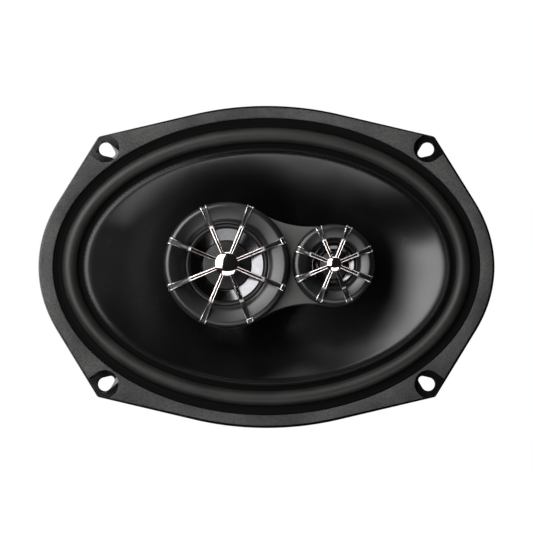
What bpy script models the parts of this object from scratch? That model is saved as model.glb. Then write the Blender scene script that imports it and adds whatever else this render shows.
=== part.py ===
"""A three-way coaxial car speaker with an oval steel basket.

The origin is the centre of the flange's rear face. +X runs along the long axis, +Z along
the short axis, and the speaker faces -Y. Lengths in this file are millimetres until they
become mesh points, where MM turns them into metres.
"""

import math

import bmesh
import bpy
from mathutils import Matrix, Vector, geometry

MM = 0.001

# Flange and mounting holes
HALF_WIDTH = 118.0
HALF_HEIGHT = 83.5
SHEET = 1.2
EAR_X = 85.6
EAR_Z = 65.3
EAR_RADIUS = 2.5
SLOT_X = 83.4
SLOT_Z = 60.9
SLOT_HEAD_R = 3.5
SLOT_TOE_R = 2.1
SLOT_RUN = 3.6
NOTCH_RADIUS = 7.2

# Ovals inside the flange share one rule: both half axes shrink by the same inset
OVAL_A = 118.0
OVAL_B = 84.5
OVAL_SIDES = 40
LONGEST_EDGE = 19.0

# Gasket
GASKET_MARGIN = 1.3
GASKET_FACE_Y = -4.6
GASKET_CHAMFER = 0.6
GASKET_INNER = 7.5
GASKET_STEP_Y = -2.6

# Surround and cone
SURROUND_LAND = 6.5
SURROUND_LAND_Y = -1.9
TROUGH = (8.6, 10.0)
TROUGH_Y = -1.0
GASKET_REBATE = 5.0
ROLL_OUTER = 12.4
ROLL_INNER = 20.2
ROLL_HEIGHT = 4.8
SURROUND_TAIL = 25.5
SURROUND_TAIL_Y = -0.25
RUBBER = 0.8
CONE_EDGE_INSET = 22.3
CONE_EDGE_Y = -1.7
CONE_RIM = 3.7
CONE_NECK_R = 19.0
CONE_NECK_Y = 30.0
CONE_WALL = 0.8
CONE_FLARE = 1.1

# Spider, voice coil and dust ring
SPIDER_BORE_R = 18.7
SPIDER_INNER = 20.5
SPIDER_OUTER = 52.0
SPIDER_RIM_R = 58.5
SPIDER_COIL_Y = 32.5
SPIDER_RIM_Y = 34.3
SPIDER_SWING = 1.3
SPIDER_WAVES = 3
SPIDER_HALF_WALL = 0.35
FORMER_R = (17.95, 18.35)
FORMER_FRONT_Y = CONE_NECK_Y - 2.0
FORMER_REAR_Y = 60.0
WINDING_R = (18.65, 19.25)
WINDING_Y = (44.5, 56.5)
DUST_RING_R = (7.2, 17.6)
DUST_RING_T = 1.6

# Basket body
LEDGE_Y = 35.0
LEDGE_R = 61.0
NECK_R = 50.0
SEAT_Y = 46.0
SEAT_R = 42.0
SEAT_HOLE_R = 21.5
WINDOWS = 8
WINDOW_SPAN = math.radians(33)
WINDOW_MIDDLE = 0.61
WINDOW_REACH = 0.22
WINDOW_TOOL_T = 6.0

# Motor
GAP = 0.3
TOP_PLATE_Y = SEAT_Y + SHEET + GAP
TOP_PLATE_T = 6.0
MAGNET_T = 17.0
YOKE_T = 6.0
PLATE_R = 42.0
MAGNET_R = 47.0
POLE_R = 17.6
COIL_BORE_R = 19.6
POST_HOLE_R = 6.5
POST_R = 6.2
POST_BORE_R = 4.0
YOKE_Y = TOP_PLATE_Y + TOP_PLATE_T + GAP + MAGNET_T + GAP
YOKE_REAR_Y = YOKE_Y + YOKE_T
NUT_SEAT_Y = YOKE_REAR_Y - 5.2
NUT_SEAT_R = 10.5
NUT_R = 9.2
MAGNET_BORE_R = 22.0
RIVET_RING_R = 33.0
RIVET_R = 2.0
RIVET_HEAD_R = 3.5
RIVET_HOLE_R = 2.3
RIVET_DEPTH = 4.2

# Terminal board
BOARD_Y = LEDGE_Y + SHEET + GAP
BOARD_T = 1.6
BOARD_REAR_Y = BOARD_Y + BOARD_T
BOARD_HALF_X = 30.0
BOARD_Z = (52.4, 69.0)
BOARD_CORNER = 2.0
BOARD_RIVET_X = 10.0
BOARD_RIVET_Z = 55.6
BOARD_HOLE_R = 1.8
BLADE_X = 8.0
BLADE_WIDTHS = (6.3, 4.8)
BLADE_Z = (58.8, 65.2)
BLADE_T = 0.8
BLADE_RISE = 9.0
LEAD_R = 0.7
WIRE_R = 0.8
WIRE_PITCH = 2.1
CAN_X = 23.0
CAN_Z = 61.5

# Pods on the bridge
MID_X = -20.4
MID_R = 32.2
TWEETER_X = 34.5
TWEETER_R = 20.8
POD_REAR_Y = -3.6
POD_FRONT_Y = -19.5
WEB_FRONT_Y = -13.0
BRIDGE_T = 3.0
BRIDGE_FRONT_Y = POD_REAR_Y + GAP
BRIDGE_REAR_Y = BRIDGE_FRONT_Y + BRIDGE_T
POST_FRONT_Y = BRIDGE_REAR_Y + GAP
POST_FLANGE_R = 10.6
POST_FLANGE_T = 2.0
BRIDGE_SCREW_X = 8.4
SCREW_HOLE_R = 1.3
SCREW_DEPTH = 2.3
WIRE_HOLE_R = 3.6
WAIST_R = 46.0
POCKET_GAP = 0.4
POD_ROUND = 2.6
POD_DOME = 2.4
POD_SLOPE = 0.3
POD_WALL = 3.0
LIP_Y = POD_FRONT_Y + 3.6
LIP_T = 1.0
DIAPHRAGM_Y = POD_FRONT_Y + 4.9
SMALL_MOTOR_Y = -10.4
SPOKES = 8
GUARD_T = 1.0
ARM_WIDTHS = (1.6, 1.9, 2.9, 3.5, 3.7)

# A cutter reaches this far past the faces it goes through
CUT_PAST = 3.0

COLLECTION = "coaxial_speaker"


def clear_scene():
    for thing in list(bpy.data.objects):
        bpy.data.objects.remove(thing, do_unlink=True)
    for group in list(bpy.data.collections):
        bpy.data.collections.remove(group)


def collection(name):
    group = bpy.data.collections.new(name)
    bpy.context.scene.collection.children.link(group)
    return group


def material(name, colour, roughness, metallic=0.0):
    made = bpy.data.materials.new(name)
    made.use_nodes = True
    shader = made.node_tree.nodes["Principled BSDF"]
    shader.inputs["Base Color"].default_value = (*colour, 1.0)
    shader.inputs["Roughness"].default_value = roughness
    shader.inputs["Metallic"].default_value = metallic
    made.diffuse_color = (*colour, 1.0)
    return made


def add(name, mesh, finish, x=0.0, y=0.0, z=0.0):
    """An object in the speaker's collection, placed in millimetres."""
    made = bpy.data.objects.new(name, mesh)
    made.location = Vector((x, y, z)) * MM
    if finish:
        mesh.materials.append(finish)
    parts.objects.link(made)
    return made


def mesh_from(name, points, faces):
    made = bpy.data.meshes.new(name)
    made.from_pydata([Vector(p) * MM for p in points], [], faces)
    made.update()
    return made


def settle(made, merge=0.00001, flat_angle=35):
    """Applies the object's modifiers, joins doubled points and turns every face outwards."""
    bpy.context.view_layer.update()
    graph = bpy.context.evaluated_depsgraph_get()
    baked = bpy.data.meshes.new_from_object(made.evaluated_get(graph))
    bm = bmesh.new()
    bm.from_mesh(baked)
    bmesh.ops.remove_doubles(bm, verts=bm.verts, dist=merge)
    bmesh.ops.recalc_face_normals(bm, faces=bm.faces)
    bm.to_mesh(baked)
    bm.free()
    baked.shade_smooth()
    baked.set_sharp_from_angle(angle=math.radians(flat_angle))
    made.modifiers.clear()
    made.data = baked
    return made


def turned(name, profile, segments, finish, x=0.0):
    """A closed (radius, y) outline turned about an axis along Y, as a ring."""
    points = [(r, y, 0.0) for r, y in profile]
    edges = [(i, (i + 1) % len(points)) for i in range(len(points))]
    mesh = bpy.data.meshes.new(name)
    mesh.from_pydata([Vector(p) * MM for p in points], edges, [])
    made = add(name, mesh, finish, x)
    return screw(made, segments)


def turned_solid(name, profile, segments, finish, x=0.0):
    """An open (radius, y) outline that starts and ends on the axis, turned about Y."""
    points = [(r, y, 0.0) for r, y in profile]
    edges = [(i, i + 1) for i in range(len(points) - 1)]
    mesh = bpy.data.meshes.new(name)
    mesh.from_pydata([Vector(p) * MM for p in points], edges, [])
    made = add(name, mesh, finish, x)
    return screw(made, segments)


def screw(made, segments):
    turn = made.modifiers.new("turn", "SCREW")
    turn.axis = "Y"
    turn.steps = segments
    turn.render_steps = segments
    turn.use_merge_vertices = True
    turn.merge_threshold = 0.00001
    return settle(made)


def ring(name, inner, outer, front, rear, segments, finish, x=0.0, chamfer=0.0):
    """A plain washer or tube, with an optional chamfer on its outer corners."""
    profile = [(inner, front), (inner, rear)]
    if chamfer:
        profile += [(outer - chamfer, rear), (outer, rear - chamfer)]
        profile += [(outer, front + chamfer), (outer - chamfer, front)]
    else:
        profile += [(outer, rear), (outer, front)]
    return turned(name, profile, segments, finish, x)


def disc(name, radius, front, rear, segments, finish, x=0.0, chamfer=0.0):
    profile = [(0.0, rear), (radius - chamfer, rear)]
    if chamfer:
        profile += [(radius, rear - chamfer), (radius, front + chamfer)]
        profile += [(radius - chamfer, front)]
    else:
        profile += [(radius, front)]
    return turned_solid(name, profile + [(0.0, front)], segments, finish, x)


def loft(name, loops, finish, closed=False):
    """A skin over loops that have the same number of points, in order."""
    count = len(loops[0])
    points = [p for loop in loops for p in loop]
    faces = []
    for i in range(len(loops) if closed else len(loops) - 1):
        here = i * count
        there = (i + 1) % len(loops) * count
        for j in range(count):
            k = (j + 1) % count
            faces.append((here + j, here + k, there + k, there + j))
    return add(name, mesh_from(name, points, faces), finish)


def solidify(made, thickness, offset=-1.0):
    shell = made.modifiers.new("wall", "SOLIDIFY")
    shell.thickness = thickness * MM
    shell.offset = offset
    shell.use_even_offset = True
    return settle(made)


def cutter_from(made):
    """Moves an object to the cutters and hides it from renders."""
    parts.objects.unlink(made)
    cutters.objects.link(made)
    made.hide_render = True
    made.display_type = "WIRE"
    return made


def cut(made, tool, operation="DIFFERENCE"):
    boolean = made.modifiers.new(tool.name, "BOOLEAN")
    boolean.operation = operation
    boolean.solver = "EXACT"
    boolean.object = tool


def joined(name, pieces):
    """Joins closed pieces that don't touch into one mesh object."""
    bm = bmesh.new()
    for piece in pieces:
        copy = piece.data.copy()
        copy.transform(piece.matrix_basis)
        bm.from_mesh(copy)
        bpy.data.meshes.remove(copy)
    mesh = bpy.data.meshes.new(name)
    bm.to_mesh(mesh)
    bm.free()
    for piece in pieces:
        bpy.data.objects.remove(piece, do_unlink=True)
    return add(name, mesh, None)


def prism(name, outline, front, rear, finish=None):
    """A flat (x, z) outline as a 2D curve, extruded from front to rear along Y."""
    curve = bpy.data.curves.new(name, "CURVE")
    curve.dimensions = "2D"
    curve.fill_mode = "BOTH"
    curve.extrude = (rear - front) / 2 * MM
    spline = curve.splines.new("POLY")
    spline.points.add(len(outline) - 1)
    for point, (x, z) in zip(spline.points, outline):
        point.co = (x * MM, z * MM, 0.0, 1.0)
    spline.use_cyclic_u = True
    guide = bpy.data.objects.new(name + "_curve", curve)
    parts.objects.link(guide)
    bpy.context.view_layer.update()
    graph = bpy.context.evaluated_depsgraph_get()
    mesh = bpy.data.meshes.new_from_object(guide.evaluated_get(graph))
    bpy.data.objects.remove(guide, do_unlink=True)
    # The curve's own Z becomes the speaker's -Y
    mesh.transform(Matrix.Rotation(math.pi / 2, 4, "X"))
    mesh.transform(Matrix.Translation((0.0, (front + rear) / 2 * MM, 0.0)))
    return settle(add(name, mesh, finish))


def tube(name, route, radius, finish):
    """A wire along a smooth curve through the route's points."""
    curve = bpy.data.curves.new(name, "CURVE")
    curve.dimensions = "3D"
    curve.bevel_depth = radius * MM
    curve.bevel_resolution = 1
    curve.use_fill_caps = True
    path = smooth_route(route, 2)
    spline = curve.splines.new("POLY")
    spline.points.add(len(path) - 1)
    for point, place in zip(spline.points, path):
        point.co = (*(place * MM), 1.0)
    guide = bpy.data.objects.new(name + "_curve", curve)
    parts.objects.link(guide)
    bpy.context.view_layer.update()
    graph = bpy.context.evaluated_depsgraph_get()
    mesh = bpy.data.meshes.new_from_object(guide.evaluated_get(graph))
    bpy.data.objects.remove(guide, do_unlink=True)
    return settle(add(name, mesh, finish))


def smooth_route(route, steps):
    """Catmull-Rom points through the route."""
    points = [Vector(p) for p in route]
    points = [2 * points[0] - points[1]] + points + [2 * points[-1] - points[-2]]
    path = []
    for i in range(1, len(points) - 2):
        a, b, c, d = points[i - 1 : i + 3]
        for step in range(steps):
            t = step / steps
            bend = (2 * a - 5 * b + 4 * c - d) * t * t
            twist = (3 * b - a - 3 * c + d) * t * t * t
            path.append((2 * b + (c - a) * t + bend + twist) / 2)
    return path + [points[-2]]


def strip(name, middle, widths, thickness, finish):
    """A bent metal strip: middle points with a width across Z at each, then a thickness."""
    points = []
    for (x, y, z), width in zip(middle, widths):
        points += [(x, y, z - width / 2), (x, y, z + width / 2)]
    faces = []
    for i in range(len(middle) - 1):
        faces.append((2 * i, 2 * i + 1, 2 * i + 3, 2 * i + 2))
    made = add(name, mesh_from(name, points, faces), finish)
    return solidify(made, thickness, 0.0)


def corners():
    return [(sx, sz) for sx in (-1, 1) for sz in (-1, 1)]


def circle(x, z, radius, count, start=0.0, turn=math.tau):
    step = turn / count if turn >= math.tau else turn / (count - 1)
    angles = [start + i * step for i in range(count)]
    return [(x + radius * math.cos(t), z + radius * math.sin(t)) for t in angles]


def hull(points):
    order = geometry.convex_hull_2d([Vector(p) for p in points])
    return [points[i] for i in order]


def flange_outline():
    """The oval with its four ears."""
    oval = []
    for i in range(OVAL_SIDES):
        t = math.tau * i / OVAL_SIDES
        oval.append((HALF_WIDTH * math.cos(t), HALF_HEIGHT * math.sin(t)))
    for sx, sz in corners():
        oval += circle(sx * EAR_X, sz * EAR_Z, EAR_RADIUS, 8)
    return split_long_edges(hull(oval))


def split_long_edges(outline):
    """Adds points on the straight runs, so that every loop on the same rays stays round."""
    split = []
    for here, there in zip(outline, outline[1:] + outline[:1]):
        a, b = Vector(here), Vector(there)
        steps = math.ceil((b - a).length / LONGEST_EDGE)
        split += [tuple(a.lerp(b, i / steps)) for i in range(steps)]
    return split


OUTLINE = flange_outline()
RAYS = [math.atan2(z, x) for x, z in OUTLINE]


def ellipse_on_rays(a, b, y):
    loop = []
    for ray in RAYS:
        c, s = math.cos(ray), math.sin(ray)
        reach = a * b / math.hypot(b * c, a * s)
        loop.append((reach * c, y, reach * s))
    return loop


def oval_on_rays(inset, y):
    return ellipse_on_rays(OVAL_A - inset, OVAL_B - inset, y)


def outline_on_rays(inset, y):
    """The flange's outline moved towards the centre by inset, on the same rays."""
    loop = []
    for x, z in OUTLINE:
        keep = 1 - inset / math.hypot(x, z)
        loop.append((x * keep, y, z * keep))
    return loop


def ellipse(a, b, y, count):
    angles = [math.tau * i / count for i in range(count)]
    return [(a * math.cos(t), y, b * math.sin(t)) for t in angles]


def slot_outline(sx, sz):
    """A keyhole slot, wide at the ear and narrower towards the speaker's centre."""
    head = Vector((sx * SLOT_X, sz * SLOT_Z))
    toe = head - head.normalized() * SLOT_RUN
    outline = circle(head.x, head.y, SLOT_HEAD_R, 16)
    outline += circle(toe.x, toe.y, SLOT_TOE_R, 10)
    return hull(outline)


# Basket -------------------------------------------------------------------------------

WALL = [
    (109.5, 76.0, -SHEET),
    (107.0, 74.2, 1.0),
    (105.5, 72.8, 5.0),
    (97.0, 70.0, 13.5),
    (81.0, 66.0, 24.0),
    (65.5, 62.2, 33.0),
    (LEDGE_R, LEDGE_R, LEDGE_Y),
]


def wall_at(t, share):
    """A point on the basket's wall at oval angle t, from the flange (0) to the ledge (1)."""
    place = share * (len(WALL) - 1)
    i = min(int(place), len(WALL) - 2)
    blend = place - i
    a, b, y = (u + (v - u) * blend for u, v in zip(WALL[i], WALL[i + 1]))
    return Vector((a * math.cos(t), y, b * math.sin(t)))


def window_cutter(index):
    """A rounded patch of the wall, thickened so that it cuts straight through."""
    middle = math.tau * index / WINDOWS
    points = [wall_at(middle, WINDOW_MIDDLE)]
    count, rings = 12, (0.5, 1.0)
    for reach in rings:
        for i in range(count):
            t = math.tau * i / count
            # A squared circle, so that the window has straight sides and round corners
            c, s = math.cos(t), math.sin(t)
            squareness = (c**4 + s**4) ** -0.25 * reach
            angle = middle + c * squareness * WINDOW_SPAN / 2
            share = WINDOW_MIDDLE + s * squareness * WINDOW_REACH
            points.append(wall_at(angle, share))
    faces = [(0, 1 + (i + 1) % count, 1 + i) for i in range(count)]
    for i in range(count):
        j = (i + 1) % count
        faces.append((1 + i, 1 + j, 1 + count + j, 1 + count + i))
    made = add(f"window_{index}", mesh_from("window", points, faces), None)
    return solidify(made, WINDOW_TOOL_T, 0.0)


def basket():
    loops = [outline_on_rays(0.0, -SHEET)]
    loops += [ellipse_on_rays(a, b, y) for a, b, y in WALL]
    loops += [
        ellipse_on_rays(NECK_R, NECK_R, LEDGE_Y),
        ellipse_on_rays(SEAT_R + 2, SEAT_R + 2, SEAT_Y - 1),
        ellipse_on_rays(SEAT_R, SEAT_R, SEAT_Y),
        ellipse_on_rays(SEAT_HOLE_R, SEAT_HOLE_R, SEAT_Y),
    ]
    made = loft("basket", loops, black_steel)
    made = solidify(made, SHEET, -1.0)
    stop_if_forward(made)
    windows = joined("windows", [window_cutter(i) for i in range(WINDOWS)])
    cut(made, cutter_from(windows))
    slots = [prism("slot", slot_outline(sx, sz), -CUT_PAST, CUT_PAST) for sx, sz in corners()]
    cut(made, cutter_from(joined("screw_slots", slots)))
    seat, ledge = (SEAT_Y - 1, SEAT_Y + 2.5), (LEDGE_Y - 1, LEDGE_Y + 2)
    rivets = [pin(x, z, RIVET_HOLE_R, *seat) for x, z in RIVETS]
    rivets += [pin(x, z, BOARD_HOLE_R, *ledge) for x, z in BOARD_RIVETS]
    cut(made, cutter_from(joined("basket_rivet_holes", rivets)))
    return made


def stop_if_forward(made):
    """Stops if the wall was thickened towards the front, where the gasket sits."""
    front = min(corner[1] for corner in made.bound_box)
    if front < (-SHEET - 0.01) * MM:
        raise ValueError("the basket's wall was thickened the wrong way")


def pin(x, z, radius, front, rear, count=8):
    return prism("pin", circle(x, z, radius, count), front, rear)


RIVETS = circle(0.0, 0.0, RIVET_RING_R, 4, math.pi / 4)
BRIDGE_SCREWS = [(-BRIDGE_SCREW_X, 0.0), (BRIDGE_SCREW_X, 0.0)]
BOARD_RIVETS = [(-BOARD_RIVET_X, BOARD_RIVET_Z), (BOARD_RIVET_X, BOARD_RIVET_Z)]


def gasket():
    edge_y = GASKET_FACE_Y + GASKET_CHAMFER
    loops = [
        outline_on_rays(GASKET_MARGIN, -SHEET - GAP),
        outline_on_rays(GASKET_MARGIN, edge_y),
        outline_on_rays(GASKET_MARGIN + GASKET_CHAMFER, GASKET_FACE_Y),
        oval_on_rays(GASKET_INNER - GASKET_CHAMFER, GASKET_FACE_Y),
        oval_on_rays(GASKET_INNER, edge_y),
        oval_on_rays(GASKET_INNER, GASKET_STEP_Y),
        oval_on_rays(GASKET_REBATE, GASKET_STEP_Y),
        oval_on_rays(GASKET_REBATE, -SHEET - GAP),
    ]
    made = settle(loft("front_gasket", loops, gasket_foam, closed=True))
    notches = [prism("notch", notch_outline(sx, sz), -8.0, 0.0) for sx, sz in corners()]
    cut(made, cutter_from(joined("gasket_notches", notches)))
    return made


def notch_outline(sx, sz):
    """A half circle round a slot, with straight sides that run off the ear."""
    head = Vector((sx * SLOT_X, sz * SLOT_Z))
    away = head.normalized()
    start = math.atan2(-away.y, -away.x) - math.pi / 2
    round_end = circle(head.x, head.y, NOTCH_RADIUS, 9, start, math.pi)
    run_off = [(x + away.x * 20, z + away.y * 20) for x, z in (round_end[-1], round_end[0])]
    return round_end + run_off


# Woofer -------------------------------------------------------------------------------


def offset_line(line, distance):
    """A polyline moved sideways by distance, mitred at its bends."""
    moved = []
    for i, point in enumerate(line):
        before = (point - line[i - 1]).normalized() if i else None
        after = (line[i + 1] - point).normalized() if i < len(line) - 1 else None
        before = before or after
        after = after or before
        normal = Vector((-before.y - after.y, before.x + after.x)).normalized()
        half = normal.dot(Vector((-before.y, before.x)))
        moved.append(point + normal * distance / half)
    return moved


def woofer_surround():
    """A half roll between a trough, which steps down from the clamped land, and a tail."""
    half_wall = RUBBER / 2
    middle = [Vector((SURROUND_LAND, SURROUND_LAND_Y)), Vector((TROUGH[0], SURROUND_LAND_Y))]
    middle += [Vector((TROUGH[1], TROUGH_Y)), Vector((ROLL_OUTER, TROUGH_Y))]
    centre, half = (ROLL_OUTER + ROLL_INNER) / 2, (ROLL_INNER - ROLL_OUTER) / 2
    bends = 4
    for i in range(1, bends):
        t = math.pi * i / bends
        base = TROUGH_Y + (SURROUND_TAIL_Y - TROUGH_Y) * i / bends
        y = base - ROLL_HEIGHT * math.sin(t)
        middle.append(Vector((centre - half * math.cos(t), y)))
    middle += [Vector((ROLL_INNER, SURROUND_TAIL_Y)), Vector((SURROUND_TAIL, SURROUND_TAIL_Y))]
    line = offset_line(middle, half_wall) + offset_line(middle, -half_wall)[::-1]
    loops = [ellipse(OVAL_A - d, OVAL_B - d, y, OVAL_SIDES) for d, y in line]
    return settle(loft("woofer_surround", loops, rubber, closed=True))


def cone_loop(share, count=OVAL_SIDES):
    """A loop of the cone's front surface, from its flare's start (0) to its neck (1)."""
    inset = CONE_EDGE_INSET + CONE_RIM
    a = (OVAL_A - inset) * (1 - share) + CONE_NECK_R * share
    b = (OVAL_B - inset) * (1 - share) + CONE_NECK_R * share
    y = CONE_EDGE_Y + (CONE_NECK_Y - CONE_EDGE_Y) * share**CONE_FLARE
    return ellipse(a, b, y, count)


def woofer_cone():
    edge = ellipse(OVAL_A - CONE_EDGE_INSET, OVAL_B - CONE_EDGE_INSET, CONE_EDGE_Y, OVAL_SIDES)
    loops = [edge] + [cone_loop(s) for s in (0.0, 0.3, 0.6, 0.8, 1.0)]
    made = loft("woofer_cone", loops, cone_plastic)
    return solidify(made, CONE_WALL, -1.0)


def spider():
    """A corrugated cloth disc between the ledge and the coil former."""
    middle = [Vector((SPIDER_BORE_R, SPIDER_COIL_Y)), Vector((SPIDER_INNER, SPIDER_COIL_Y))]
    for i in range(1, 2 * SPIDER_WAVES):
        share = i / (2 * SPIDER_WAVES)
        radius = SPIDER_INNER + (SPIDER_OUTER - SPIDER_INNER) * share
        level = SPIDER_COIL_Y + (SPIDER_RIM_Y - SPIDER_COIL_Y) * share
        swing = -SPIDER_SWING if i % 2 else SPIDER_SWING
        middle.append(Vector((radius, level + swing)))
    middle += [Vector((SPIDER_OUTER, SPIDER_RIM_Y)), Vector((SPIDER_RIM_R, SPIDER_RIM_Y))]
    return film("woofer_spider", middle, SPIDER_HALF_WALL, 24, spider_cloth, 0.0)


def woofer_coil():
    former = ring("voice_coil_former", *FORMER_R, FORMER_FRONT_Y, FORMER_REAR_Y, 24, kapton)
    winding = ring("voice_coil_winding", *WINDING_R, *WINDING_Y, 24, copper)
    front = FORMER_FRONT_Y + 1.0
    felt = ring("dust_ring", *DUST_RING_R, front, front + DUST_RING_T, 20, felt_black)
    return [former, winding, felt]


# Motor --------------------------------------------------------------------------------


def motor():
    rear = TOP_PLATE_Y + TOP_PLATE_T
    plate = ring("top_plate", COIL_BORE_R, PLATE_R, TOP_PLATE_Y, rear, 28, zinc, 0, 0.8)
    hole_end = TOP_PLATE_Y + RIVET_DEPTH + GAP
    holes = [pin(x, z, RIVET_HOLE_R, TOP_PLATE_Y - CUT_PAST, hole_end) for x, z in RIVETS]
    cut(plate, cutter_from(joined("plate_rivet_holes", holes)))
    front = rear + GAP
    rear = front + MAGNET_T
    ring("ferrite_magnet", MAGNET_BORE_R, MAGNET_R, front, rear, 32, ferrite, 0, 1.2)
    profile = [
        (POST_HOLE_R, TOP_PLATE_Y),
        (POST_HOLE_R, NUT_SEAT_Y),
        (NUT_SEAT_R, NUT_SEAT_Y),
        (NUT_SEAT_R, YOKE_REAR_Y),
        (PLATE_R - 2.5, YOKE_REAR_Y),
        (PLATE_R, YOKE_REAR_Y - 1.5),
        (PLATE_R, YOKE_Y),
        (POLE_R, YOKE_Y),
        (POLE_R, TOP_PLATE_Y + 0.8),
        (POLE_R - 0.8, TOP_PLATE_Y),
    ]
    turned("pole_yoke", profile, 28, zinc)
    under_head, tip = SEAT_Y - GAP, TOP_PLATE_Y + RIVET_DEPTH
    rivet = [(0, under_head - 1.3), (2.4, under_head - 1.0), (RIVET_HEAD_R, under_head)]
    rivet += [(RIVET_R, under_head), (RIVET_R, tip), (0, tip)]
    for i, (x, z) in enumerate(RIVETS):
        made = turned_solid(f"motor_rivet_{i + 1}", rivet, 8, zinc, x)
        made.location.z = z * MM


def centre_post():
    rear = YOKE_REAR_Y - 1.0
    profile = [
        (POST_BORE_R, POST_FRONT_Y),
        (POST_FLANGE_R, POST_FRONT_Y),
        (POST_FLANGE_R, POST_FRONT_Y + POST_FLANGE_T),
        (POST_R, POST_FRONT_Y + POST_FLANGE_T),
        (POST_R, rear),
        (POST_BORE_R, rear),
    ]
    post = turned("centre_post", profile, 18, post_plastic)
    holes = [pin(x, z, SCREW_HOLE_R, -CUT_PAST, CUT_PAST, 10) for x, z in BRIDGE_SCREWS]
    cut(post, cutter_from(joined("post_screw_holes", holes)))
    outline = circle(0.0, 0.0, NUT_R, 6)
    nut = prism("post_nut", outline, NUT_SEAT_Y + GAP, YOKE_REAR_Y - 1.4, zinc)
    bore = pin(0.0, 0.0, POST_R + GAP, NUT_SEAT_Y - CUT_PAST, YOKE_REAR_Y + CUT_PAST, 24)
    bore.name = "nut_bore"
    cut(nut, cutter_from(bore))


# Terminals and wiring -----------------------------------------------------------------



def terminals():
    low, high = BOARD_Z
    side, top = BOARD_HALF_X, high - BOARD_CORNER
    outline = [(-side, low), (side, low), (side, top), (side - BOARD_CORNER, high)]
    outline += [(BOARD_CORNER - side, high), (-side, top)]
    board = prism("terminal_board", outline, BOARD_Y, BOARD_REAR_Y, phenolic)
    ends = BOARD_Y - 1, BOARD_REAR_Y + 1
    holes = [pin(x, z, BOARD_HOLE_R, *ends) for x, z in BOARD_RIVETS]
    cut(board, cutter_from(joined("board_rivet_holes", holes)))
    foot = BOARD_REAR_Y + GAP
    flat = foot + BLADE_T / 2
    inner, outer = BLADE_Z
    blade = [(flat, inner), (flat, outer), (foot + BLADE_RISE, outer)]
    for name, x, width in zip(("positive", "negative"), (-BLADE_X, BLADE_X), BLADE_WIDTHS):
        made = bent_tab(f"terminal_{name}", blade, width)
        made.location.x = x * MM
    rivet = [(0, LEDGE_Y + 0.2), (1.5, LEDGE_Y + 0.2), (1.5, foot)]
    rivet += [(2.6, foot), (1.8, foot + 0.7), (0, foot + 0.9)]
    for i, (x, z) in enumerate(BOARD_RIVETS):
        made = turned_solid(f"board_rivet_{i + 1}", rivet, 8, brass, x)
        made.location.z = z * MM


def bent_tab(name, points, width):
    """A blade bent from strip along (y, z) points, with its width along X."""
    mesh_points = []
    for y, z in points:
        mesh_points += [(-width / 2, y, z), (width / 2, y, z)]
    faces = []
    for i in range(len(points) - 1):
        faces.append((2 * i, 2 * i + 1, 2 * i + 3, 2 * i + 2))
    return solidify(add(name, mesh_from(name, mesh_points, faces), brass), BLADE_T, 0.0)


def wiring():
    for name, side in (("positive", -1), ("negative", 1)):
        route = [
            (side * 13.0, 35.2, 66.5),
            (side * 15.0, 31.0, 66.0),
            (side * 17.5, 26.0, 62.0),
            (side * 17.5, 22.0, 54.0),
            (side * 15.5, 19.0, 47.0),
            (side * 14.0, 15.8, 41.8),
            (side * 13.6, 13.2, 40.3),
        ]
        tube(f"tinsel_lead_{name}", route, LEAD_R, tinsel)
    rear = YOKE_REAR_Y
    for name, x in (("common", -WIRE_PITCH), ("midrange", 0.0), ("tweeter", WIRE_PITCH)):
        route = [
            (x, BOARD_REAR_Y + 0.6, 61.0),
            (x, BOARD_Y + 8.0, 60.0),
            (x, 50.0, 53.0),
            (x, 56.0, 49.4),
            (x, 66.0, 49.2),
            (x, rear - 2.0, 48.0),
            (x, rear + 1.2, 42.5),
            (x, rear + 1.5, 28.0),
            (x, rear + 1.6, 9.0),
            (x, rear + 0.8, 3.0),
            (x, rear - 3.0, 0.8),
            (x, rear - 9.0, 0.6),
        ]
        tube(f"{name}_wire", route, WIRE_R, wire_sleeves[name])


def capacitors():
    """Two crossover capacitors that stand on the terminal board's rear face."""
    foot = BOARD_REAR_Y + GAP
    sizes = (("midrange", -CAN_X, 5.0, 20.0), ("tweeter", CAN_X, 4.0, 16.0))
    for name, x, radius, length in sizes:
        can = disc(f"{name}_capacitor", radius, foot, foot + length, 16, cap_sleeve, x, 0.6)
        can.location.z = CAN_Z * MM


# Pods ---------------------------------------------------------------------------------


def bridge_outline(count=14):
    """Two circles joined by a waist whose sides are arcs that run into both circles."""
    r1, r2 = MID_R, TWEETER_R
    blend = WAIST_R
    span = TWEETER_X - MID_X
    d1, d2 = r1 + blend, r2 + blend
    along = (span**2 + d1**2 - d2**2) / (2 * span)
    up = math.sqrt(d1**2 - along**2)
    centre = (MID_X + along, up)
    turn1 = math.atan2(up, along)
    turn2 = math.atan2(up, along - span)
    outline = circle(MID_X, 0.0, r1, count, turn1, math.tau - 2 * turn1)
    start = math.pi - turn1
    end = math.atan2(up, along - span)
    outline += arc_between(centre[0], -centre[1], blend, start, math.pi - end)[1:-1]
    outline += circle(TWEETER_X, 0.0, r2, count, -turn2, 2 * turn2)
    outline += arc_between(centre[0], centre[1], blend, end - math.pi, turn1 - math.pi)[1:-1]
    return outline


def arc_between(x, z, radius, start, end, count=7):
    step = (end - start) / (count - 1)
    angles = [start + i * step for i in range(count)]
    return [(x + radius * math.cos(t), z + radius * math.sin(t)) for t in angles]


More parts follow.
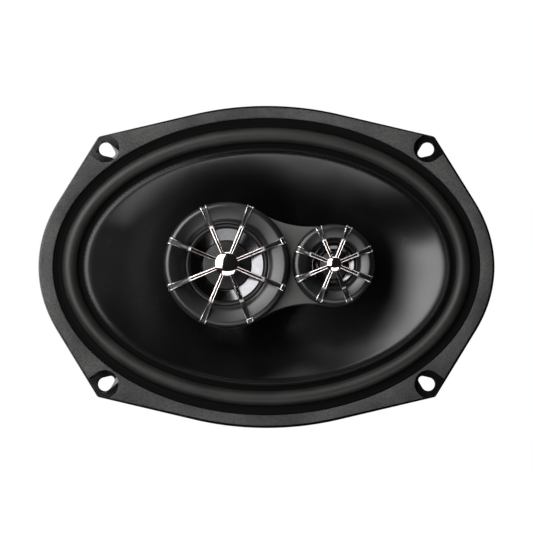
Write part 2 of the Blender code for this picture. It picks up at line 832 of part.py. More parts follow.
def bridge():
    made = prism("bridge", bridge_outline(), WEB_FRONT_Y, BRIDGE_REAR_Y, bridge_plastic)
    pockets = []
    for x, radius in ((MID_X, MID_R), (TWEETER_X, TWEETER_R)):
        outline = circle(x, 0.0, radius + POCKET_GAP, 32)
        pockets.append(prism("pocket", outline, WEB_FRONT_Y - CUT_PAST, BRIDGE_FRONT_Y))
    cut(made, cutter_from(joined("pod_pockets", pockets)))
    past = BRIDGE_REAR_Y + CUT_PAST
    holes = [pin(0, 0, WIRE_HOLE_R, BRIDGE_FRONT_Y - CUT_PAST, past, 16)]
    blind = BRIDGE_REAR_Y - SCREW_DEPTH - GAP
    holes += [pin(x, z, SCREW_HOLE_R, blind, past, 10) for x, z in BRIDGE_SCREWS]
    cut(made, cutter_from(joined("bridge_holes", holes)))
    head = POST_FRONT_Y + POST_FLANGE_T + GAP
    tip = BRIDGE_REAR_Y - SCREW_DEPTH
    profile = [(0, tip), (1.0, tip), (1.0, head), (1.9, head), (1.9, head + 0.8)]
    profile += [(1.2, head + 1.2), (0, head + 1.2)]
    for i, (x, _) in enumerate(BRIDGE_SCREWS):
        turned_solid(f"bridge_screw_{i + 1}", profile, 8, zinc, x)


def pod(name, x, radius, throat, floor_hole):
    """The cup of a small driver: a rounded ring with a lip over the diaphragm's edge."""
    profile = [
        (floor_hole, POD_REAR_Y),
        (radius - 1.2, POD_REAR_Y),
        (radius, POD_REAR_Y - 1.2),
        (radius, POD_FRONT_Y + POD_DOME),
    ]
    ring_mid = radius - POD_ROUND
    for i in range(1, 4):
        t = math.pi / 2 * i / 4
        y = POD_FRONT_Y + POD_DOME * (1 - math.sin(t))
        profile.append((ring_mid + POD_ROUND * math.cos(t), y))
    slope_end = throat + 2.3
    profile += [
        (ring_mid, POD_FRONT_Y),
        (slope_end, POD_FRONT_Y + POD_SLOPE * (ring_mid - slope_end)),
        (throat, LIP_Y),
        (throat, LIP_Y + LIP_T),
        (throat + POD_WALL, LIP_Y + LIP_T),
        (throat + POD_WALL, POD_REAR_Y - 2.0),
        (floor_hole, POD_REAR_Y - 2.0),
    ]
    return turned(f"{name}_housing", profile, 28, pod_plastic, x)


def small_motor(name, x, cup_r, magnet_r, coil_front):
    """A cup yoke with a disc magnet and a pole plate, and the coil in its gap."""
    wall = 2.2 if cup_r > 10 else 1.7
    gap_outer = cup_r - wall
    pole = gap_outer - 1.6
    floor = POD_REAR_Y - 1.8
    front = SMALL_MOTOR_Y
    profile = [
        (0, POD_REAR_Y - 0.2),
        (cup_r - 0.6, POD_REAR_Y - 0.2),
        (cup_r, POD_REAR_Y - 0.8),
        (cup_r, front),
        (gap_outer, front),
        (gap_outer, floor),
        (0, floor),
    ]
    turned_solid(f"{name}_yoke", profile, 20, zinc, x)
    disc(f"{name}_magnet", magnet_r, front + 2.1, floor - GAP, 20, neodymium, x)
    disc(f"{name}_pole_plate", pole, front, front + 1.8, 20, zinc, x)
    coil_rear = front + 3.6
    inner = pole + 0.3
    former = ring(
        f"{name}_coil_former", inner, inner + 0.25, coil_front, coil_rear, 20, kapton, x
    )
    winding = ring(
        f"{name}_winding", inner + 0.55, inner + 0.9, front + 0.4, coil_rear, 20, copper, x
    )
    return former, winding


def guard(name, x, radius, hub_r):
    """A hub and eight thin arms that cross the pod's ring and end on its outer shoulder."""
    top = POD_FRONT_Y - 0.5
    ring_mid = radius - POD_ROUND
    lift = GAP + GUARD_T / 2
    middle = [(hub_r * 0.5, top - 1.3, 0.0), (radius * 0.66, top - 0.7, 0.0)]
    for degrees in (90, 67, 45):
        t = math.radians(degrees)
        r = ring_mid + (POD_ROUND + lift) * math.cos(t)
        middle.append((r, POD_FRONT_Y + POD_DOME - (POD_DOME + lift) * math.sin(t), 0.0))
    arms = []
    for i in range(SPOKES):
        arm = strip("arm", middle, ARM_WIDTHS, GUARD_T, None)
        arm.matrix_basis = Matrix.Rotation(math.tau * (i + 0.5) / SPOKES, 4, "Y")
        arms.append(arm)
    arms = cutter_from(joined(f"{name}_arms", arms))
    arms.location.x = x * MM
    profile = [(0, top - 0.2), (hub_r - 0.6, top - 0.2), (hub_r, top - 0.8)]
    profile += [(hub_r * 0.8, top - 2.0), (hub_r * 0.4, top - 2.6), (0, top - 2.8)]
    made = turned_solid(f"{name}_guard", profile, 16, chrome, x)
    cut(made, arms, "UNION")


def film(name, line, half_wall, segments, finish, x):
    """A thin turned skin along a (radius, y) line."""
    outline = offset_line(line, half_wall) + offset_line(line, -half_wall)[::-1]
    return turned(name, [tuple(p) for p in outline], segments, finish, x)


def midrange():
    x, throat = MID_X, 21.5
    pod("midrange", x, MID_R, throat, 13.4)
    former, winding = small_motor("midrange", x, 13.0, 8.2, -12.0)
    top = DIAPHRAGM_Y
    line = [(throat + 2.6, 0.3), (21.2, 0.3), (20.2, -0.6), (19.2, 0.5), (17.6, 0.95)]
    line = [Vector((r, top + y)) for r, y in line]
    film("midrange_surround", line, 0.2, 24, rubber, x)
    skin = [(18.6, -0.1), (13.0, 1.5), (10.15, 2.6), (10.15, 3.1), (13.0, 2.1), (18.6, 0.2)]
    skin = [(r, top + y) for r, y in skin]
    cone = turned("midrange_cone", skin, 24, bright_diaphragm, x)
    cap = [(0, -0.6), (7.0, 0.1), (12.4, 1.2), (12.4, 0.8), (7.0, -0.3), (0, -1.0)]
    cap = [(r, top + y) for r, y in cap]
    dust_cap = turned_solid("midrange_dust_cap", cap, 24, cap_black, x)
    guard("midrange", x, MID_R, 6.5)
    return [cone, dust_cap, former, winding]


def tweeter():
    x, throat = TWEETER_X, 11.6
    pod("tweeter", x, TWEETER_R, throat, 10.0)
    former, winding = small_motor("tweeter", x, 9.6, 5.4, -13.8)
    top = DIAPHRAGM_Y
    line = [(throat + 2.6, 0.3), (11.6, 0.2), (10.7, -0.1), (8.9, 0.3), (7.6, 0.6)]
    line = [Vector((r, top + y)) for r, y in line]
    film("tweeter_surround", line, 0.15, 20, bright_diaphragm, x)
    front = [(0, -2.4), (3.2, -1.9), (5.6, -0.8), (7.1, 0.1)]
    front = [(r, top + y) for r, y in front]
    rear = [(r, y + 0.4) for r, y in front]
    dome = turned_solid("tweeter_dome", front + rear[::-1], 20, dome_silk, x)
    guard("tweeter", x, TWEETER_R, 4.3)
    return [dome, former, winding]


def hold(name, x, pieces):
    """An empty on the driver's axis that carries its moving pieces."""
    axis = bpy.data.objects.new(name, None)
    axis.location = (x * MM, 0.0, 0.0)
    parts.objects.link(axis)
    bpy.context.view_layer.update()
    for piece in pieces:
        piece.parent = axis
        piece.matrix_parent_inverse = axis.matrix_world.inverted()


clear_scene()
parts = collection(COLLECTION)
cutters = collection("cutters")

black_steel = material("black_painted_steel", (0.012, 0.012, 0.013), 0.35, 0.0)
zinc = material("zinc_plated_steel", (0.55, 0.55, 0.53), 0.3, 1.0)
ferrite = material("ferrite", (0.03, 0.03, 0.032), 0.55)
neodymium = material("nickel_plated_magnet", (0.6, 0.58, 0.55), 0.2, 1.0)
gasket_foam = material("gasket_foam", (0.1, 0.1, 0.1), 0.85)
rubber = material("surround_rubber", (0.03, 0.03, 0.03), 0.5)
cone_plastic = material("cone_polypropylene", (0.012, 0.012, 0.013), 0.35)
spider_cloth = material("spider_cloth", (0.55, 0.42, 0.2), 0.9)
kapton = material("former_film", (0.45, 0.2, 0.05), 0.4)
copper = material("coil_copper", (0.7, 0.3, 0.15), 0.3, 1.0)
felt_black = material("dust_felt", (0.02, 0.02, 0.02), 0.95)
post_plastic = material("post_nylon", (0.02, 0.02, 0.02), 0.5)
phenolic = material("terminal_phenolic", (0.2, 0.09, 0.04), 0.6)
brass = material("tinned_brass", (0.7, 0.65, 0.5), 0.3, 1.0)
tinsel = material("tinsel_braid", (0.6, 0.45, 0.3), 0.5, 1.0)
cap_sleeve = material("capacitor_sleeve", (0.02, 0.05, 0.12), 0.4)
bridge_plastic = material("bridge_abs", (0.06, 0.06, 0.06), 0.5)
pod_plastic = material("pod_abs", (0.02, 0.02, 0.02), 0.3)
chrome = material("guard_chrome", (0.8, 0.78, 0.78), 0.08, 1.0)
bright_diaphragm = material("metallised_film", (0.75, 0.75, 0.76), 0.15, 1.0)
cap_black = material("dust_cap_black", (0.01, 0.01, 0.01), 0.3)
dome_silk = material("dome_black", (0.01, 0.01, 0.01), 0.4)
wire_sleeves = {
    "common": material("wire_sleeve_black", (0.015, 0.015, 0.015), 0.5),
    "midrange": material("wire_sleeve_red", (0.4, 0.02, 0.02), 0.5),
    "tweeter": material("wire_sleeve_blue", (0.02, 0.06, 0.35), 0.5),
}

basket()
gasket()
woofer_surround()
spider()
motor()
centre_post()
terminals()
wiring()
capacitors()
bridge()
hold("woofer_axis", 0.0, [woofer_cone()] + woofer_coil())
hold("midrange_axis", MID_X, midrange())
hold("tweeter_axis", TWEETER_X, tweeter())
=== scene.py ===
# %% [markdown]
# # An oval three-way car speaker
# This lesson dresses a CAD model with fine meshes and real finishes. The CAD says where every
# part is and which part moves, and each fine piece is drawn to the same measures.

# %% Load the frame
import math

import bmesh
import bpy
import numpy as np
from mathutils import Matrix, Vector, geometry


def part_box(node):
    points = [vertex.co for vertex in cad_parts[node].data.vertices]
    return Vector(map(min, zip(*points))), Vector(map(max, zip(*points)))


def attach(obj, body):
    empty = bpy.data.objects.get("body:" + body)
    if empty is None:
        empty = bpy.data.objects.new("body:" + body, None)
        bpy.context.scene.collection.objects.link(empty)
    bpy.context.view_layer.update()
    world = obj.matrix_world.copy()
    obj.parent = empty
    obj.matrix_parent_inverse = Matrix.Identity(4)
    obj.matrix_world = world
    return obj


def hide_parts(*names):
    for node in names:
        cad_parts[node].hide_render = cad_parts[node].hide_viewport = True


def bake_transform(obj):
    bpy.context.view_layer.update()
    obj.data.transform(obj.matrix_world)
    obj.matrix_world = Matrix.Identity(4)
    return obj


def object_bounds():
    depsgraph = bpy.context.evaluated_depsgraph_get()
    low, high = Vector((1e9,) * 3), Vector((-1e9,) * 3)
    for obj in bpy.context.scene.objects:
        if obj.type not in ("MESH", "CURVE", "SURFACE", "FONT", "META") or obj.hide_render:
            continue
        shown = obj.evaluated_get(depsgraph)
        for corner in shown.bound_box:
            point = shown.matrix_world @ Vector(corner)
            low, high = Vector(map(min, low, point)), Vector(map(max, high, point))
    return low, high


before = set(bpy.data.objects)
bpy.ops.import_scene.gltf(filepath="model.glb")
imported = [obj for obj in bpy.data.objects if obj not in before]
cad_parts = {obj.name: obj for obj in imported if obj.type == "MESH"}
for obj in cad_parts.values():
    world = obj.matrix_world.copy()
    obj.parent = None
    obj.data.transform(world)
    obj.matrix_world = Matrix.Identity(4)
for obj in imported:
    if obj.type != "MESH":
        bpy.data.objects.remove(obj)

MM = 0.001
cad_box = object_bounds()
size = (cad_box[1] - cad_box[0]) / MM
print(f"{len(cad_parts)} CAD parts, {size.x:.1f} x {size.y:.1f} x {size.z:.1f} mm")

# %% [markdown]
# ## Measures from the frame
# A speaker is a stack of rings, so most parts are known by a centre, a radius and two depths.
# The main ones are read from each CAD part's own box, and the rest are given with each piece.
# Lengths below are millimetres until they become mesh points.

# %% Read the boxes
def middle_of(node):
    low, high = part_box(node)
    return (low + high) / 2 / MM


def reach_of(node):
    low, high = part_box(node)
    return (high - low) / 2 / MM


half_width, _, half_height = reach_of("basket")
mid_x = middle_of("midrange_housing").x
mid_radius = reach_of("midrange_housing").x
tweeter_x = middle_of("tweeter_housing").x
tweeter_radius = reach_of("tweeter_housing").x
pod_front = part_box("midrange_housing")[0].y / MM
pod_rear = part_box("midrange_housing")[1].y / MM
magnet_front, magnet_rear = (corner.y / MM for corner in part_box("ferrite_magnet"))
plate_front, plate_rear = (corner.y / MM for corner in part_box("top_plate"))
yoke_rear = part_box("pole_yoke")[1].y / MM
print(f"midrange at x {mid_x:.1f}, radius {mid_radius:.1f}; tweeter at x {tweeter_x:.1f}")

# %% [markdown]
# ## Helpers for meshes
# Two shapes make nearly everything: a skin lofted over loops, and an outline turned about the
# speaker's own axis. Both get a UV map called Sweep, in metres round and along the skin, so
# that grooves, weaves and braids can follow the surface.

# %% Add an object, edit its mesh, read its points
def add_object(name, data):
    made = bpy.data.objects.new(name, data)
    bpy.context.scene.collection.objects.link(made)
    return made


def edited(made, change):
    """Lets change(bm) work on the object's mesh, then writes it back."""
    bm = bmesh.new()
    bm.from_mesh(made.data)
    change(bm)
    bm.to_mesh(made.data)
    bm.free()
    return made


def outwards(made):
    """Joins doubled points, then turns every face outwards."""
    def change(bm):
        bmesh.ops.remove_doubles(bm, verts=bm.verts, dist=0.002 * MM)
        bmesh.ops.recalc_face_normals(bm, faces=bm.faces)
    return edited(made, change)


def applied(made):
    """Turns the object's modifiers into its own plain mesh."""
    bpy.context.view_layer.update()
    graph = bpy.context.evaluated_depsgraph_get()
    baked = bpy.data.meshes.new_from_object(made.evaluated_get(graph))
    made.modifiers.clear()
    made.data = baked
    return made


def points_of(made):
    return np.array([vertex.co for vertex in made.data.vertices]) / MM


print("helpers ready: add_object, edited, outwards, applied, points_of")

# %% Loft a skin over loops
def loft(name, loops, closed=False):
    """A skin over loops (N x 3, mm) with the same number of points; closed joins last to first."""
    loops = np.array(loops, float)
    rows, count = loops.shape[:2]
    spans = rows if closed else rows - 1
    girth = np.linalg.norm(np.roll(loops, -1, 1) - loops, axis=2).sum(1).max()
    steps = np.linalg.norm(np.roll(loops, -1, 0) - loops, axis=2).mean(1)
    run = np.concatenate([[0.0], np.cumsum(steps)])
    i, j = np.meshgrid(np.arange(spans), np.arange(count), indexing="ij")
    here, there = i * count, (i + 1) % rows * count
    step = (j + 1) % count
    faces = np.stack([here + j, here + step, there + step, there + j], -1).reshape(-1, 4)
    u = np.stack([j, j + 1, j + 1, j], -1) / count * girth
    v = np.stack([run[i], run[i], run[i + 1], run[i + 1]], -1)
    mesh = bpy.data.meshes.new(name)
    mesh.from_pydata(loops.reshape(-1, 3) * MM, [], faces.tolist())
    sweep = mesh.uv_layers.new(name="Sweep")
    sweep.data.foreach_set("uv", (np.stack([u, v], -1) * MM).astype(np.float32).ravel())
    return outwards(add_object(name, mesh))


def round_line(x, z, radius, count, start=0.0, turn=math.tau):
    """Points on a circle, or on an arc that includes both of its ends."""
    step = turn / count if turn >= math.tau else turn / (count - 1)
    angles = start + step * np.arange(count)
    return np.column_stack([x + radius * np.cos(angles), z + radius * np.sin(angles)])


def turned(name, profile, x=0.0, z=0.0, steps=128, ends_on_axis=False):
    """A (radius, y) outline turned about a line along Y."""
    circle = round_line(0.0, 0.0, 1.0, steps)
    loops = [np.column_stack([x + radius * circle[:, 0], np.full(steps, y),
                              z + radius * circle[:, 1]]) for radius, y in profile]
    return loft(name, loops, closed=not ends_on_axis)


print("helpers ready: loft, turned")

# %% [markdown]
# Real edges are never sharp: pressing, moulding and turning all leave a small radius, and that
# radius is what catches the light. A corner in an outline is replaced by a short curve, which
# gives a clean round without a bevel modifier.

# %% Round the corners of an outline
def rounded(line, radius, bends=3, closed=False):
    """Each corner of the line (any dimension) becomes a short arc of about this radius.

    A corner is cut by less than half of its shorter side, so that neighbours don't meet.
    """
    line = [np.array(point, float) for point in line]
    made = [] if closed else [line[0]]
    inner = range(len(line)) if closed else range(1, len(line) - 1)
    for i in inner:
        before, here, after = line[i - 1], line[i], line[(i + 1) % len(line)]
        cut_a = min(radius, 0.45 * np.linalg.norm(before - here))
        cut_b = min(radius, 0.45 * np.linalg.norm(after - here))
        a = here + (before - here) / np.linalg.norm(before - here) * cut_a
        b = here + (after - here) / np.linalg.norm(after - here) * cut_b
        for k in range(bends + 1):
            t = k / bends
            made.append((1 - t) ** 2 * a + 2 * t * (1 - t) * here + t * t * b)
    return made if closed else made + [line[-1]]


def smooth_line(line, steps):
    """Catmull-Rom points through the line (any dimension)."""
    line = [np.array(point, float) for point in line]
    line = [2 * line[0] - line[1]] + line + [2 * line[-1] - line[-2]]
    made = []
    for a, b, c, d in zip(line, line[1:], line[2:], line[3:]):
        for step in range(steps):
            t = step / steps
            bend = (2 * a - 5 * b + 4 * c - d) * t * t + (3 * b - a - 3 * c + d) * t**3
            made.append((2 * b + (c - a) * t + bend) / 2)
    return made + [line[-2]]


def offset_line(line, distance):
    """A (radius, y) line moved sideways by distance, mitred at its bends."""
    line = np.array(line, float)
    ahead = np.diff(line, axis=0)
    ahead /= np.linalg.norm(ahead, axis=1)[:, None]
    before = np.vstack([ahead[:1], ahead])
    after = np.vstack([ahead, ahead[-1:]])
    normal = np.column_stack([-(before + after)[:, 1], (before + after)[:, 0]])
    normal /= np.linalg.norm(normal, axis=1)[:, None]
    half = (normal * np.column_stack([-before[:, 1], before[:, 0]])).sum(1)
    return line + normal * (distance / np.maximum(half, 0.3))[:, None]


def wall_of(line, thickness):
    """The closed outline of a thin wall whose middle is the line."""
    front = offset_line(line, thickness / 2)
    rear = offset_line(line, -thickness / 2)[::-1]
    return np.vstack([front, rear])


def eased(share):
    """A share from 0 to 1 with a gentle start and end."""
    return share * share * (3 - 2 * share)


print("helpers ready: rounded, smooth_line, wall_of, eased")

# %% [markdown]
# ## Helpers for nodes
# Materials and Geometry Nodes are both node trees, so one function adds a node, sets it and
# links it. Colours are written as sRGB hex, as a designer would, and made linear in one place.

# %% Add a node, set an input, read a colour
def add_node(tree, kind, inputs=None, **settings):
    made = tree.nodes.new(kind)
    for name, value in settings.items():
        setattr(made, name, value)
    for name, value in (inputs or {}).items():
        if isinstance(value, bpy.types.NodeSocket):
            tree.links.new(value, made.inputs[name])
        else:
            made.inputs[name].default_value = value
    return made


def linear(code):
    """An sRGB hex colour as the linear values that a shader takes."""
    channels = [int(code[i:i + 2], 16) / 255 for i in (1, 3, 5)]
    curve = [c / 12.92 if c <= 0.04045 else ((c + 0.055) / 1.055) ** 2.4 for c in channels]
    return (*curve, 1.0)


print("mid grey #808080 is", round(linear("#808080")[0], 3), "in linear light")

# %% [markdown]
# ## Finishes
# Every finish has the same three layers: slow patches that shift its colour and gloss, a fine
# grain that breaks its highlight, and on some a pattern that follows the surface. Sizes are
# real millimetres on Object coordinates, because each piece sits at the origin unscaled.

# %% One recipe for a finish
def make_finish(name, light, dark, gloss, grain, metallic=0.0, patch=9.0, swing=0.05,
                detail=2.0, **shader_values):
    """gloss is the roughness; grain is (size, depth) and patch a size, in mm."""
    made = bpy.data.materials.new(name)
    made.use_nodes = True
    tree = made.node_tree
    shader = tree.nodes["Principled BSDF"]
    shader.inputs["Metallic"].default_value = metallic
    for socket, value in shader_values.items():
        shader.inputs[socket.replace("_", " ")].default_value = value
    place = add_node(tree, "ShaderNodeTexCoord").outputs["Object"]
    patches = add_node(tree, "ShaderNodeTexNoise",
                       {"Vector": place, "Scale": 1 / (patch * MM), "Detail": 3.0})
    fine = add_node(tree, "ShaderNodeTexNoise",
                    {"Vector": place, "Scale": 1 / (grain[0] * MM), "Detail": detail})
    both = add_node(tree, "ShaderNodeMath",
                    {0: patches.outputs["Fac"], 1: fine.outputs["Fac"]}, operation="MULTIPLY")
    # A noise mostly stays between 0.3 and 0.7, and two multiplied between 0.12 and 0.4
    share = add_node(tree, "ShaderNodeMapRange",
                     {"Value": both.outputs[0], "From Min": 0.12, "From Max": 0.4})
    # In a Mix node, sockets 2 and 3 are the pair of numbers, 6 and 7 the pair of colours, and
    # output 2 is the mixed colour
    colour = add_node(tree, "ShaderNodeMix",
                      {0: share.outputs[0], 6: linear(dark), 7: linear(light)},
                      data_type="RGBA")
    rough = add_node(tree, "ShaderNodeMapRange",
                     {"Value": patches.outputs["Fac"], "From Min": 0.3, "From Max": 0.7,
                      "To Min": gloss - swing, "To Max": gloss + swing})
    bump = add_node(tree, "ShaderNodeBump",
                    {"Height": fine.outputs["Fac"], "Distance": grain[1] * MM})
    tree.links.new(colour.outputs[2], shader.inputs["Base Color"])
    tree.links.new(rough.outputs[0], shader.inputs["Roughness"])
    tree.links.new(bump.outputs[0], shader.inputs["Normal"])
    return made


def add_relief(made, height, depth):
    """Adds a second bump on top of the material's own; depth in mm."""
    tree = made.node_tree
    socket = tree.nodes["Principled BSDF"].inputs["Normal"]
    below = socket.links[0].from_socket
    relief = add_node(tree, "ShaderNodeBump",
                      {"Height": height, "Distance": depth * MM, "Normal": below})
    tree.links.new(relief.outputs[0], socket)


def add_lines(made, spacing, depth, direction="Y", wobble=0.0):
    """Grooves along the Sweep map's X, Y or DIAGONAL, with this spacing and depth in mm."""
    tree = made.node_tree
    sweep = add_node(tree, "ShaderNodeUVMap", uv_map="Sweep").outputs[0]
    # A wave texture repeats every tau / 20 units at scale 1
    lines = add_node(tree, "ShaderNodeTexWave",
                     {"Vector": sweep, "Scale": math.tau / 20 / (spacing * MM),
                      "Distortion": wobble},
                     bands_direction=direction)
    add_relief(made, lines.outputs["Fac"], depth)


print("recipe ready: make_finish, add_relief, add_lines")

# %% [markdown]
# Painted, rubber and moulded black parts differ mostly in gloss and grain: baked enamel has a
# shallow orange peel, closed-cell foam is matt and pitted, butyl rubber is satin, and the
# injected plastics carry the mould's own texture. The cone has fine rings, drawn 1.1 mm apart,
# about twice their real spacing, so that they still show from a metre away.

# %% Black and dark finishes
enamel = make_finish("black_baked_enamel_on_steel", "#0d0d0f", "#060607", 0.16, (0.9, 0.01),
                     Specular_IOR_Level=0.4)
foam = make_finish("closed_cell_foam_gasket", "#3a3a39", "#141414", 0.8, (0.6, 0.22),
                   patch=30.0, detail=4.0, Specular_IOR_Level=0.3, Sheen_Weight=0.05)
rubber = make_finish("satin_butyl_rubber", "#1b1b19", "#0e0e0d", 0.52, (0.45, 0.06),
                     patch=14.0, Specular_IOR_Level=0.3)
cone_plastic = make_finish("black_polypropylene_cone", "#070708", "#040405", 0.26, (0.6, 0.001),
                           patch=22.0, swing=0.02, Anisotropic=0.9, Anisotropic_Rotation=0.25)
# Fine rings smear a highlight across themselves, so the gloss is stretched along the slope
tangent = add_node(cone_plastic.node_tree, "ShaderNodeTangent", direction_type="UV_MAP",
                   uv_map="Sweep")
cone_plastic.node_tree.links.new(
    tangent.outputs[0], cone_plastic.node_tree.nodes["Principled BSDF"].inputs["Tangent"])
add_lines(cone_plastic, spacing=1.1, depth=0.003)
bridge_plastic = make_finish("spark_eroded_abs", "#3b3b3a", "#2c2c2b", 0.5, (0.3, 0.015),
                             patch=12.0)
pod_plastic = make_finish("satin_black_abs", "#0b0b0c", "#060607", 0.36, (0.35, 0.006),
                          patch=16.0)
post_nylon = make_finish("glass_filled_nylon", "#1e1e1f", "#0f0f10", 0.55, (0.5, 0.03))
silk = make_finish("coated_silk_dome", "#0c0c0e", "#050506", 0.5, (0.25, 0.01), patch=4.0,
                   Specular_IOR_Level=0.3)
felt = make_finish("black_wool_felt", "#1c1c1c", "#080808", 0.95, (0.3, 0.2), patch=2.0,
                   detail=5.0, Sheen_Weight=0.4)
stitching = make_finish("waxed_polyester_thread", "#0c0c0b", "#050505", 0.5, (0.15, 0.02),
                        patch=1.5, Specular_IOR_Level=0.2)
print("dark finishes:", len(bpy.data.materials))

# %% [markdown]
# Metals keep the shader's own index of refraction and are told apart by tint and gloss. Zinc
# plating is pale and shows the lathe's rings, chrome is nearly a mirror, and smoked
# aluminised film is a thin dark mirror with faint ripples.

# %% Metal finishes
zinc = make_finish("bright_zinc_plated_steel", "#c2c3c1", "#b3b4b4", 0.3, (0.8, 0.01), 1.0,
                   patch=18.0)
add_lines(zinc, spacing=0.7, depth=0.01)
nickel = make_finish("nickel_plated_magnet", "#cfcac2", "#a8a49c", 0.22, (0.5, 0.005), 1.0)
chrome = make_finish("bright_chrome_plating", "#e8e0de", "#d9d0ce", 0.07, (1.5, 0.003), 1.0,
                     patch=5.0, swing=0.02)
film = make_finish("smoked_aluminised_film", "#5c5c5e", "#525254", 0.14, (2.4, 0.004), 1.0,
                   patch=12.0, swing=0.02)
copper = make_finish("enamelled_copper_wire", "#c46a3c", "#8f4524", 0.3, (0.3, 0.01), 1.0)
tinned = make_finish("tin_plated_brass", "#c8c2ae", "#9c9680", 0.3, (0.4, 0.01), 1.0)
braid = make_finish("tinsel_braid", "#b98a5a", "#5f432a", 0.45, (0.2, 0.03), 1.0, patch=1.5)
add_lines(braid, spacing=0.7, depth=0.12, direction="DIAGONAL")
ferrite = make_finish("ground_strontium_ferrite", "#2b2b2e", "#17171a", 0.55, (0.5, 0.05),
                      patch=5.0, detail=5.0)
add_lines(ferrite, spacing=1.6, depth=0.01, wobble=1.5)


def add_painted_shade(made, colour, gloss, metal=False):
    """Painted shade, dark and matt, where the shade attribute is 1, over the bare finish
    elsewhere.
    """
    tree = made.node_tree
    shader = tree.nodes["Principled BSDF"]
    mask = add_node(tree, "ShaderNodeAttribute", attribute_name="PaintedShade").outputs["Fac"]
    below = shader.inputs["Base Color"].links[0].from_socket
    tint = add_node(tree, "ShaderNodeMix", {0: mask, 6: below, 7: linear(colour)},
                    data_type="RGBA")
    rough = add_node(tree, "ShaderNodeMix",
                     {0: mask, 2: shader.inputs["Roughness"].links[0].from_socket, 3: gloss},
                     data_type="FLOAT")
    tree.links.new(tint.outputs[2], shader.inputs["Base Color"])
    tree.links.new(rough.outputs[0], shader.inputs["Roughness"])
    # Painted shade takes the metal out of a metal, and the shine out of the rest
    bare = "Metallic" if metal else "Specular IOR Level"
    shine = add_node(tree, "ShaderNodeMix",
                     {0: mask, 2: shader.inputs[bare].default_value, 3: 0.0}, data_type="FLOAT")
    tree.links.new(shine.outputs[0], shader.inputs[bare])


def mark_painted_shade(made, share):
    """Writes the shade attribute: how much shade is painted on each point, from 0 to 1."""
    shade_layer = made.data.attributes.new("PaintedShade", "FLOAT", "POINT")
    shade_layer.data.foreach_set("value", share.astype(np.float32))


# Painted shade, black and matt, fills the floor of the guards' channels
add_painted_shade(chrome, "#060606", 0.3, metal=True)
# Painted shade darkens the flat lands on both sides of the roll, and the cone's edge
for shaded_finish in (rubber, cone_plastic):
    add_painted_shade(shaded_finish, "#0b0b0b", 0.8)
print("finishes so far:", len(bpy.data.materials))

# %% [markdown]
# The rest is what holds and feeds the coil: woven cloth dipped in resin, paper board, amber
# film, vinyl wire sleeves and the capacitors' shrink sleeves.

# %% Cloth, board, film and wire finishes
cloth = make_finish("resin_dipped_cotton", "#c79f5c", "#8d6a33", 0.8, (0.4, 0.05), patch=6.0)
# Threads at 1.2 mm, twice the real spacing, so that the weave still shows from a metre away
for direction in ("X", "Y"):
    add_lines(cloth, spacing=1.2, depth=0.1, direction=direction)
paper_board = make_finish("phenolic_paper_board", "#6d4228", "#472715", 0.5, (0.7, 0.02),
                          patch=4.0)
amber = make_finish("amber_polyimide_film", "#a8611c", "#7c4210", 0.25, (0.6, 0.005))
shrink = make_finish("shrink_sleeve", "#1b3057", "#0f1c38", 0.25, (0.8, 0.01))
sleeves = {
    "common": make_finish("black_vinyl_sleeve", "#161616", "#0c0c0c", 0.4, (0.6, 0.02)),
    "midrange": make_finish("red_vinyl_sleeve", "#b01c1c", "#7d1010", 0.4, (0.6, 0.02)),
    "tweeter": make_finish("blue_vinyl_sleeve", "#1c3fae", "#10277a", 0.4, (0.6, 0.02)),
}
print("finishes in all:", len(bpy.data.materials))

# %% [markdown]
# ## Finishing a piece
# A new piece takes a material, smooth shading with creases kept, the body that it rides on, and
# the CAD parts that it stands for.

# %% Finish a piece
def finish(made, material, slot, body, *nodes, crease=32):
    """crease is the angle in degrees above which an edge stays sharp."""
    made.data.materials.clear()
    made.data.materials.append(material)
    made.data.shade_smooth()
    made.data.set_sharp_from_angle(angle=math.radians(crease))
    if body:
        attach(made, body)
    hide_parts(*nodes)
    return made


def flexes(made, material, slot, node, share_of):
    """A skin between the frame and a moving body; share_of gives how far each point would follow,
    which is worked out but not used.
    """
    finish(made, material, slot, None, node)
    points = points_of(made)
    share = np.clip(share_of(points), 0.0, 1.0)
    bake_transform(made)
    return made


print("helpers ready: finish, flexes")

# %% [markdown]
# ## Flange outline
# The pressed flange is an oval with four ears. Its outline is the outer hull of the oval and
# four small circles. Every loop of the basket uses the same rays from the centre, so that the
# faces between two loops stay even.

# %% Trace the flange and its rays
sheet = 1.2
ear_x, ear_z, ear_radius = 85.6, 65.3, 2.5
slot_x, slot_z = 83.4, 60.9
slot_head, slot_toe, slot_run = 3.5, 2.1, 3.6
corners = [(sx, sz) for sx in (-1, 1) for sz in (-1, 1)]


def hull_of(dots):
    return np.array([dots[i] for i in geometry.convex_hull_2d([Vector(d) for d in dots])])


def flange_rays(count=300, ear_count=20, longest=2.4):
    dots = round_line(0.0, 0.0, 1.0, count) * (half_width, half_height)
    ears = [round_line(sx * ear_x, sz * ear_z, ear_radius, ear_count) for sx, sz in corners]
    hull = hull_of(np.vstack([dots] + ears))
    line = []
    for a, b in zip(hull, np.roll(hull, -1, 0)):
        steps = max(1, math.ceil(np.linalg.norm(b - a) / longest))
        line += [a + (b - a) * k / steps for k in range(steps)]
    return np.array(line)


flange = flange_rays()
flange_reach = np.linalg.norm(flange, axis=1)
ray = flange / flange_reach[:, None]


def ray_loop(reach, y):
    line = ray * reach[:, None]
    return np.column_stack([line[:, 0], np.full(len(line), y), line[:, 1]])


def flange_loop(inset, y):
    return ray_loop(flange_reach - inset, y)


def oval_loop(a, b, y):
    return ray_loop(a * b / np.hypot(b * ray[:, 0], a * ray[:, 1]), y)


oval_a, oval_b = half_width, half_height + 1.0
print(f"{len(ray)} rays round a {2 * half_width:.0f} x {2 * half_height:.0f} mm flange")

# %% [markdown]
# ## Cutting tools
# Holes are cut with solids, as a press would punch them. A prism is an outline given a front
# and a rear; a Boolean modifier takes it away and is then applied.

